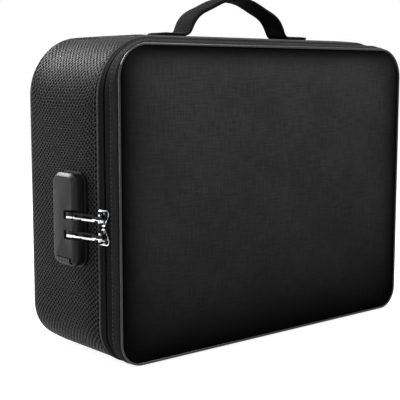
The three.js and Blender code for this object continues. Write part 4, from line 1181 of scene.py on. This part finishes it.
def lining(name, open_depth, floor_depth, body, node):
    """A tray of lining: up the outer side, over the open edge, down the inner side and the floor."""
    steps = 10
    towards = 1 if floor_depth > open_depth else -1
    inner_floor = floor_depth - towards * LINING
    levels = [(floor_depth, LINING_INSET, scale) for scale in (0.12, 0.35, 0.6, 0.85)]
    for i in range(steps + 1):
        levels.append((floor_depth + (open_depth - floor_depth) * i / steps, LINING_INSET, 1.0))
    for i in range(steps + 1):
        levels.append((open_depth + (inner_floor - open_depth) * i / steps, LINING_INSET + LINING, 1.0))
    for scale in (0.93, 0.85, 0.72, 0.6, 0.47, 0.35, 0.23, 0.12):
        levels.append((inner_floor, LINING_INSET + LINING, scale))
    outline = whole_outline(10, 0.010)
    middle_z = CASE_HEIGHT / 2
    points, flat = [], []
    for number, (depth, inset, scale) in enumerate(levels):
        for s in outline:
            p = at(s, depth, drawn_in(depth) + inset)
            flat.append((p.x * scale + depth * 0.4, (p.z - middle_z) * scale + depth * 0.4))
            q = Vector((p.x * scale, p.y, middle_z + (p.z - middle_z) * scale))
            if number > steps + 5 and scale < 1.0:
                slack = noise.noise(Vector((q.x * 11, q.z * 13, q.y * 30 + 5)))
                q.y -= towards * LINING_SLACK * max(0.0, slack)
            points.append(q)
    piece = new_piece(name, points, ring_faces(len(levels), len(outline)), flat, sharp=50)
    dress(piece, body, lining_satin, [node])


lining_satin = cloth(
    "Lining satin",
    (0.060, 0.062, 0.065),
    (0.130, 0.133, 0.138),
    (0.0009, 0.0006),
    0.00005,
    (0.38, 0.5),
    specular=0.4,
)
lining("body_satin", WALL_START, WALL_END - GAP, "case", "body_lining")
lining("lid_satin", RIM_END, RIM_START, "lid", "lid_lining")


# The lid's pocket is a stretched panel of knitted mesh with a bound upper edge, sewn in on three
# sides.
LID_POCKET_WIDTH = 0.280
LID_POCKET_HEIGHT = 0.150
LID_POCKET_BASE = (CASE_HEIGHT - LID_POCKET_HEIGHT) / 3
MESH_SHEET = 0.0006
POCKET_BINDING = 0.009
lid_pocket_front = RIM_START + LINING + GAP


def mesh_cloth(name, thread_colour, gap_colour, pitch):
    """Knitted mesh: open cells between threads, drawn as dark holes with raised threads."""
    material, tree, shader, vector = new_material(name)
    cells = use_group(tree, DOTS, vector, Pitch=pitch)
    holes = spread(tree, cells["Gaps"], 0.25, 0.6)
    colour = blend_colour(tree, holes, thread_colour, gap_colour)
    rough = spread(tree, cells["Fibres"], 0.3, 0.7, 0.6, 0.85)
    fill(tree, shader, Base_Color=colour, Roughness=rough, Specular_IOR_Level=0.2)
    height = maths(tree, "SUBTRACT", cells["Fibres"], maths(tree, "MULTIPLY", holes, 2.0))
    add_bump(tree, shader, height, 0.0003)
    return material


def stretched_sheet(name, width, base, height, depth, thickness, bulge, columns=36, rows=22):
    """A sheet held on three sides that bulges a little towards its open upper edge."""
    points, faces, flat = [], [], []
    for over in (0.0, thickness):
        for row in range(rows + 1):
            for column in range(columns + 1):
                u, v = column / columns, row / rows
                swell = math.sin(math.pi * u) * math.sin(math.pi * min(1.0, v * 0.62)) * bulge
                points.append(spot(width * (u - 0.5), depth + swell + over, base + height * v))
                flat.append((width * u, height * v))

    def index(side, row, column):
        return (side * (rows + 1) + row) * (columns + 1) + column

    for row in range(rows):
        for column in range(columns):
            for side in (0, 1):
                square = ((row, column), (row, column + 1), (row + 1, column + 1), (row + 1, column))
                faces.append([index(side, *corner) for corner in square])
    rim_loop = [(0, c) for c in range(columns)] + [(r, columns) for r in range(rows)]
    rim_loop += [(rows, c) for c in range(columns, 0, -1)] + [(r, 0) for r in range(rows, 0, -1)]
    for a, b in zip(rim_loop, rim_loop[1:] + rim_loop[:1]):
        faces.append([index(0, *a), index(0, *b), index(1, *b), index(1, *a)])
    return new_piece(name, points, faces, flat, sharp=50)


def edge_tape(name, points_along, depth_low, depth_high, width, material, body):
    """A soft tape over a pocket's edge, carried along points (x, z), with rounded sides."""
    rings, section = [], flat_round(12, width, depth_high - depth_low, 0.35, 0.6)
    middle = (depth_low + depth_high) / 2
    for i, (x, z) in enumerate(points_along):
        before, after = points_along[max(0, i - 1)], points_along[min(len(points_along) - 1, i + 1)]
        along = Vector((after[0] - before[0], after[1] - before[1])).normalized()
        side = Vector((-along.y, along.x))
        rings.append([spot(x + side.x * a, middle + u, z + side.y * a) for a, u in section])
    piece = skinned(name, rings, section, False, 50)
    dress(piece, body, material)
    return piece
pocket_mesh = mesh_cloth("Pocket mesh", (0.034, 0.034, 0.036), (0.008, 0.008, 0.008), 0.0022)
lid_net = stretched_sheet(
    "lid_pocket_net",
    LID_POCKET_WIDTH - 0.002,
    LID_POCKET_BASE,
    LID_POCKET_HEIGHT - 0.001,
    lid_pocket_front + 0.0010,
    MESH_SHEET,
    0.0010,
)
dress(lid_net, "lid", pocket_mesh, ["lid_pocket"])
net_half = LID_POCKET_WIDTH / 2 - POCKET_BINDING / 2
net_top = LID_POCKET_BASE + LID_POCKET_HEIGHT
net_low = LID_POCKET_BASE + POCKET_BINDING / 2
net_side = [(-net_half, net_top - 0.001), (-net_half, net_low + 0.02), (-net_half, net_low)]
net_base = [(-net_half + 2 * net_half * i / 20, net_low) for i in range(1, 20)]
net_edge = net_side + net_base + [(-x, z) for x, z in reversed(net_side)]
binding_pieces = [
    edge_tape(
        "lid_pocket_edging",
        net_edge,
        lid_pocket_front + 0.0003,
        lid_pocket_front + 0.0022,
        POCKET_BINDING,
        plain_cloth,
        "lid",
    ),
    edge_tape(
        "lid_pocket_top_band",
        [(-net_half + 2 * net_half * i / 20, net_top - 0.0045) for i in range(21)],
        lid_pocket_front + 0.0004,
        lid_pocket_front + 0.0026,
        POCKET_BINDING * 1.05,
        binding_tape,
        "lid",
    ),
]


# The divider is a board in two sheets of padded cloth, bound round its edge. It stands in the body
# and carries a sleeve of mesh on its front face.
DIVIDER_DEPTH = 0.076
DIVIDER_THICKNESS = 0.003
DIVIDER_HEIGHT = 0.200
DIVIDER_INSET = LINING_INSET + LINING + GAP
SLEEVE_SHEET = 0.001
SLEEVE_WIDTH = 0.280
SLEEVE_HEIGHT = 0.120
SLEEVE_BASE = 0.040
low_corners = (
    corner_run(LOW_LEFT, 12)
    + side_run(turned(LOW_LEFT, 90), LOW_RIGHT, 0.012)
    + corner_run(LOW_RIGHT, 12)
    + [(turned(LOW_RIGHT, 90), turned(LOW_RIGHT, 90), 0.0)]
)
divider_outline = [(p.x, p.z) for p in (at(s, DIVIDER_DEPTH, DIVIDER_INSET) for s in low_corners)]
top_corner = 0.006
divider_half = CASE_WIDTH / 2 - DIVIDER_INSET
for sign, start in ((1, 0), (-1, 90)):
    for i in range(5):
        turn = math.radians(start + 90 * i / 4)
        divider_outline.append(
            (
                sign * (divider_half - top_corner) + top_corner * math.cos(turn),
                DIVIDER_HEIGHT - top_corner + top_corner * math.sin(turn),
            )
        )
divider = patch(
    "divider_pad",
    divider_outline,
    lambda x, z, d: spot(x, d, z),
    DIVIDER_DEPTH,
    DIVIDER_DEPTH + DIVIDER_THICKNESS,
    0.0010,
)
dress(divider, "case", plain_cloth, ["padded_divider"])
sleeve = stretched_sheet(
    "sleeve_net",
    SLEEVE_WIDTH,
    SLEEVE_BASE,
    SLEEVE_HEIGHT,
    DIVIDER_DEPTH - GAP - SLEEVE_SHEET + 0.0002,
    0.0005,
    -0.0006,
)
dress(sleeve, "case", pocket_mesh, ["divider_sleeve"])
SLEEVE_BINDING = 0.008
for label, height_at in (("top", SLEEVE_HEIGHT - SLEEVE_BINDING / 2), ("base", SLEEVE_BINDING / 2)):
    band_points = [(-SLEEVE_WIDTH / 2 + SLEEVE_WIDTH * i / 20, SLEEVE_BASE + height_at) for i in range(21)]
    band_front, band_back = DIVIDER_DEPTH - 0.0020, DIVIDER_DEPTH - 0.0002
    band = f"sleeve_{label}_band"
    edge_tape(band, band_points, band_front, band_back, SLEEVE_BINDING, plain_cloth, "case")


# The document pocket is folded from stiff board and covered in cloth. Its back is glued to the
# floor of the body.
def grained(name, dark, light, scale, bump, rough, specular, metallic=0.0):
    """Moulded, covered or plated stuff: fine grain, broad wear and small marks on Object coordinates."""
    material, tree, shader, vector = new_material(name, on_cloth=False)
    marks = use_group(tree, HANDLING, vector, Patch_scale=60.0, Lint_scale=1400.0)
    grain = noise_value(tree, vector, scale, 3.0, 0.6)
    share = maths(tree, "MULTIPLY", spread(tree, grain, 0.3, 0.7), drift(tree, marks, 0.7, 1.0))
    colour = blend_colour(tree, share, dark, light)
    fill(tree, shader, Base_Color=colour, Roughness=drift(tree, marks, *rough))
    fill(tree, shader, Specular_IOR_Level=specular, Metallic=metallic)
    add_bump(tree, shader, grain, bump)
    return material


def coat_node(node, material):
    """Gives a CAD node a better material on all its slots."""
    data = bpy.data.objects[node].data
    data.materials.clear()
    data.materials.append(material)


covered_board = grained(
    "Covered board", (0.020, 0.020, 0.021), (0.042, 0.042, 0.044), 900.0, 0.00012, (0.6, 0.75), 0.2
)
coat_node("document_pocket", covered_board)


# The sliders and the pullers are zinc castings with polished chrome plating and softened edges.
# A painted dark reflection, black and not metallic, covers the slider's dished back, the arms of its bar and
# the puller's upper rail.
RECESS_RIM = 0.0007
BRIDGE_START = 0.0008
BAR_HALF = 0.0012
RAIL_LINE = 0.0007
RECESS_DEPTH = 0.00025


def refined(node, name, body, material, width, sharp_angle=35, shape_first=None):
    """A copy of a CAD solid with its edges rounded, to stand in for the node."""
    mesh = bpy.data.objects[node].data.copy()
    mesh.name = name
    sheet = bmesh.new()
    sheet.from_mesh(mesh)
    bmesh.ops.remove_doubles(sheet, verts=sheet.verts, dist=1e-6)
    bmesh.ops.dissolve_limit(sheet, angle_limit=math.radians(2), verts=sheet.verts, edges=sheet.edges)
    if shape_first:
        shape_first(sheet)
    sheet.to_mesh(mesh)
    sheet.free()
    rough = placed(name, mesh)
    rounding = rough.modifiers.new("Rounding", "BEVEL")
    rounding.limit_method = "ANGLE"
    rounding.angle_limit = math.radians(28)
    rounding.width = width
    rounding.segments = 2
    rounding.use_clamp_overlap = True
    rounding.harden_normals = False
    ready = rough.evaluated_get(bpy.context.evaluated_depsgraph_get())
    final = bpy.data.meshes.new_from_object(ready)
    bpy.data.objects.remove(rough)
    final.name = name
    smooth_but_sharp(final, sharp_angle)
    dress(placed(name, final), body, material, [node])


def dish_the_back(sheet):
    """Sinks the slider's broad outer face inside a rim, and marks it and the bar's arms for a painted dark
    reflection.
    """
    dark_reflection_paint = sheet.faces.layers.float.new("dark_reflection_paint")
    backs = [face for face in sheet.faces if face.normal.x < -0.9]
    broad = max(face.calc_area() for face in backs)
    backs = [face for face in backs if face.calc_area() > 0.4 * broad]
    bmesh.ops.inset_region(
        sheet, faces=backs, thickness=RECESS_RIM, depth=-RECESS_DEPTH, use_even_offset=True
    )
    for face in backs:
        face[dark_reflection_paint] = 1.0
    floor = min(face.calc_center_median().x for face in backs)
    bridge = [face for face in sheet.faces if face.calc_center_median().x < floor - BRIDGE_START]
    heights = [vertex.co.z for face in bridge for vertex in face.verts]
    middle = (min(heights) + max(heights)) / 2
    for face in bridge:
        if abs(face.calc_center_median().z - middle) > BAR_HALF:
            face[dark_reflection_paint] = 1.0


def split_the_rails(sheet):
    """Parts the puller along a line below its middle and marks what is above for a painted dark reflection.
    """
    dark_reflection_paint = sheet.faces.layers.float.new("dark_reflection_paint")
    heights = [vertex.co.z for vertex in sheet.verts]
    line = (min(heights) + max(heights)) / 2 - RAIL_LINE
    everything = sheet.verts[:] + sheet.edges[:] + sheet.faces[:]
    bmesh.ops.bisect_plane(sheet, geom=everything, plane_co=(0, 0, line), plane_no=(0, 0, 1))
    for face in sheet.faces:
        face[dark_reflection_paint] = 1.0 if face.calc_center_median().z > line else 0.0


def plated(name, metal_dark, metal_light, dark_reflection_colour, rough):
    """Polished plating, with a painted dark reflection, black and not metallic, where a face is marked for
    it.
    """
    material, tree, shader, vector = new_material(name, on_cloth=False)
    marks = use_group(tree, HANDLING, vector, Patch_scale=60.0, Lint_scale=1400.0)
    dark_reflection_paint = add_node(tree, "ShaderNodeAttribute", attribute_name="dark_reflection_paint").outputs["Fac"]
    metal = blend_colour(tree, marks["Patches"], metal_dark, metal_light)
    fill(tree, shader, Base_Color=blend_colour(tree, dark_reflection_paint, metal, dark_reflection_colour))
    fill(tree, shader, Metallic=maths(tree, "SUBTRACT", 1.0, dark_reflection_paint), Specular_IOR_Level=0.1)
    fill(tree, shader, Roughness=drift(tree, marks, *rough))
    return material


# The third colour is the black of the painted dark reflection.
chrome = plated(
    "Chrome with painted dark reflection", (0.60, 0.61, 0.63), (0.78, 0.79, 0.80), (0.012, 0.012, 0.013), (0.10, 0.20)
)
CASTINGS = (("slider", 0.00035, dish_the_back), ("puller", 0.00030, split_the_rails))
for label in ("upper", "lower"):
    for kind, width, shape_first in CASTINGS:
        node = f"{label}_{kind}"
        refined(node, node + "_casting", node, chrome, width, shape_first=shape_first)


# The lock is moulded in black ABS with a fine spark-eroded grain: a foot plate, a cover with a
# chamfered face, and a ribbed thumb button. Two screws hold it through the wall.
abs_plastic = grained(
    "Black moulding", (0.006, 0.006, 0.0062), (0.010, 0.010, 0.0104), 1900.0, 0.00003, (0.30, 0.40), 0.12
)
gloss_plastic = grained(
    "Polished moulding", (0.006, 0.006, 0.0062), (0.010, 0.010, 0.0105), 1500.0, 0.00001, (0.16, 0.24), 0.22
)
refined("lock_housing", "lock_cover_moulding", "case", abs_plastic, 0.00028, 30)
refined("lock_base", "lock_foot_moulding", "case", abs_plastic, 0.00022, 30)
refined("release_button", "thumb_button_moulding", "latch", gloss_plastic, 0.00022, 30)


# Three dials of dark moulding turn on a steel pin. Each has ten flats with a printed number, and a
# groove between every two flats for the finger.
DIAL_RADIUS = 0.0039
NUMBER_SINK = 0.9855
NUMBER_HEIGHT = 0.0040
NUMBER_NARROW = 0.72
NUMBER_PROUD = 0.00004
dial_plastic = grained(
    "Dial moulding", (0.012, 0.012, 0.0125), (0.020, 0.020, 0.021), 1700.0, 0.00002, (0.24, 0.34), 0.5
)
number_paint = grained(
    "Number print", (0.55, 0.55, 0.54), (0.72, 0.72, 0.70), 2200.0, 0.00001, (0.45, 0.6), 0.4
)


def number_mesh(digit):
    """A printed number as a thin flat mesh about its own middle."""
    words = bpy.data.curves.new("number", "FONT")
    words.body = str(digit)
    words.size = NUMBER_HEIGHT * 1.4
    words.align_x = "CENTER"
    words.extrude = NUMBER_PROUD / 2
    words.resolution_u = 3
    holder = placed("number", words)
    ready = holder.evaluated_get(bpy.context.evaluated_depsgraph_get())
    mesh = bpy.data.meshes.new_from_object(ready)
    bpy.data.objects.remove(holder)
    bpy.data.curves.remove(words)
    across, up = [v.co.x for v in mesh.vertices], [v.co.y for v in mesh.vertices]
    shrink = NUMBER_HEIGHT / (max(up) - min(up))
    to_middle = Matrix.Translation((-(min(across) + max(across)) / 2, -(min(up) + max(up)) / 2, 0))
    mesh.transform(Matrix.Diagonal((shrink * NUMBER_NARROW, shrink, 1, 1)) @ to_middle)
    return mesh


digit_meshes = [number_mesh(digit) for digit in range(10)]
for i in (1, 2, 3):
    node = f"dial_{i}"
    low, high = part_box(node)
    middle = (Vector(low) + Vector(high)) / 2
    refined(node, f"{node}_moulding", node, dial_plastic, 0.00018, 30)
    sheet = bmesh.new()
    for digit, shape in enumerate(digit_meshes):
        angle = 2 * math.pi * digit / 10 + math.pi
        out = Vector((math.cos(angle), math.sin(angle), 0))
        side = Vector((-math.sin(angle), math.cos(angle), 0))
        upright = Vector((0, 0, 1))
        place = Matrix((side, upright, out)).transposed().to_4x4()
        place.translation = middle + out * (DIAL_RADIUS * NUMBER_SINK + NUMBER_PROUD * 0.5)
        copy = shape.copy()
        copy.transform(place)
        sheet.from_mesh(copy)
        bpy.data.meshes.remove(copy)
    bmesh.ops.recalc_face_normals(sheet, faces=sheet.faces)
    mesh = bpy.data.meshes.new(f"{node}_numbers")
    sheet.to_mesh(mesh)
    sheet.free()
    dress(placed(f"{node}_numbers", mesh), node, number_paint)
for shape in digit_meshes:
    bpy.data.meshes.remove(shape)


# The dial pin, the latch plate, its spring, the backing plate and the screws are zinc-plated steel.
# They are turned, stamped or bent, and show the plain shapes of their CAD solids.
zinc_steel = grained(
    "Zinc-plated steel", (0.40, 0.41, 0.42), (0.56, 0.57, 0.58), 700.0, 0.00002, (0.26, 0.40), 0.5, 1.0
)
for node in (
    "dial_spindle",
    "latch_plate",
    "detent_spring",
    "lock_backplate",
    "upper_lock_screw",
    "lower_lock_screw",
):
    coat_node(node, zinc_steel)


# The studio is a pale floor in a white surround, with six soft lamps. The strongest stands behind
# the case on the left, above it, and lights its top and its woven side.
FLOOR_SIZE = 6.0
SURROUND_LIGHT = 0.08
FLOOR_GLOW = 0.90
floor_mesh = bpy.data.meshes.new("floor")
floor_corners = [(x * FLOOR_SIZE, y * FLOOR_SIZE, 0) for x, y in ((-1, -1), (1, -1), (1, 1), (-1, 1))]
floor_mesh.from_pydata(floor_corners, [], [(0, 1, 2, 3)])
floor = placed("floor", floor_mesh)


def white_where_seen(tree, output, plain, white):
    """Shows white to the camera, in reflections and through glass, and a plain shader to other rays."""
    path = tree.nodes.new("ShaderNodeLightPath").outputs
    seen = maths(tree, "MAXIMUM", path["Is Camera Ray"], path["Is Glossy Ray"])
    seen = maths(tree, "MAXIMUM", seen, path["Is Transmission Ray"])
    mix = add_node(tree, "ShaderNodeMixShader", seen, plain.outputs[0], white.outputs[0])
    add_node(tree, output, mix.outputs[0])


studio = bpy.data.worlds.new("studio")
bpy.context.scene.world = studio
studio.use_nodes = True
air = studio.node_tree
air.nodes.clear()
dim = add_node(air, "ShaderNodeBackground", Color=(1, 1, 1, 1), Strength=SURROUND_LIGHT)
bright = add_node(air, "ShaderNodeBackground", Color=(1, 1, 1, 1), Strength=1.0)
white_where_seen(air, "ShaderNodeOutputWorld", dim, bright)

floor_finish = bpy.data.materials.new("Pale floor")
floor_finish.use_nodes = True
ground = floor_finish.node_tree
ground.nodes.clear()
matte = add_node(ground, "ShaderNodeBsdfPrincipled", Base_Color=(0.45, 0.45, 0.45, 1), Roughness=0.9)
glow = add_node(ground, "ShaderNodeEmission", Strength=FLOOR_GLOW)
lit = add_node(ground, "ShaderNodeAddShader", matte.outputs[0], glow.outputs[0])
white_where_seen(ground, "ShaderNodeOutputMaterial", matte, lit)
floor_mesh.materials.append(floor_finish)

for name, place, aim, width, height, power in (
    ("back_softbox", (-0.44, 1.14, 1.02), (-0.15, 0, 0.25), 0.9, 0.4, 34),
    ("back_left_softbox", (-1.10, 1.20, 0.15), (-0.18, 0, 0.12), 0.6, 0.6, 3),
    ("overhead_softbox", (-0.48, 0.10, 1.19), (-0.15, -0.05, 0.26), 0.15, 0.15, 2),
    ("front_softbox", (0.06, -0.30, 0.72), (0.02, -0.06, 0.24), 0.7, 0.15, 5.8),
    ("side_softbox", (-1.25, -0.25, 0.75), (-0.15, 0, 0.15), 0.5, 0.5, 2),
    ("low_side_softbox", (-1.30, -0.15, 0.22), (-0.15, -0.05, 0.16), 0.15, 0.4, 4),
):
    light = bpy.data.lights.new(name, "AREA")
    light.shape = "RECTANGLE"
    light.size, light.size_y = width, height
    light.energy = power
    lamp = placed(name, light)
    lamp.location = place
    lamp.rotation_euler = (Vector(aim) - Vector(place)).to_track_quat("-Z", "Y").to_euler()

CAMERA_TILT = 7.335
CAMERA_TURN = -40.311
camera_data = bpy.data.cameras.new("camera")
camera = placed("camera", camera_data)
camera.location = (-0.610, -0.674, 0.236)
camera.rotation_euler = (math.radians(90 - CAMERA_TILT), 0, math.radians(CAMERA_TURN))
camera_data.sensor_width = 36
camera_data.lens = 87.04
bpy.context.scene.camera = camera
bpy.context.scene.view_settings.view_transform = "Standard"
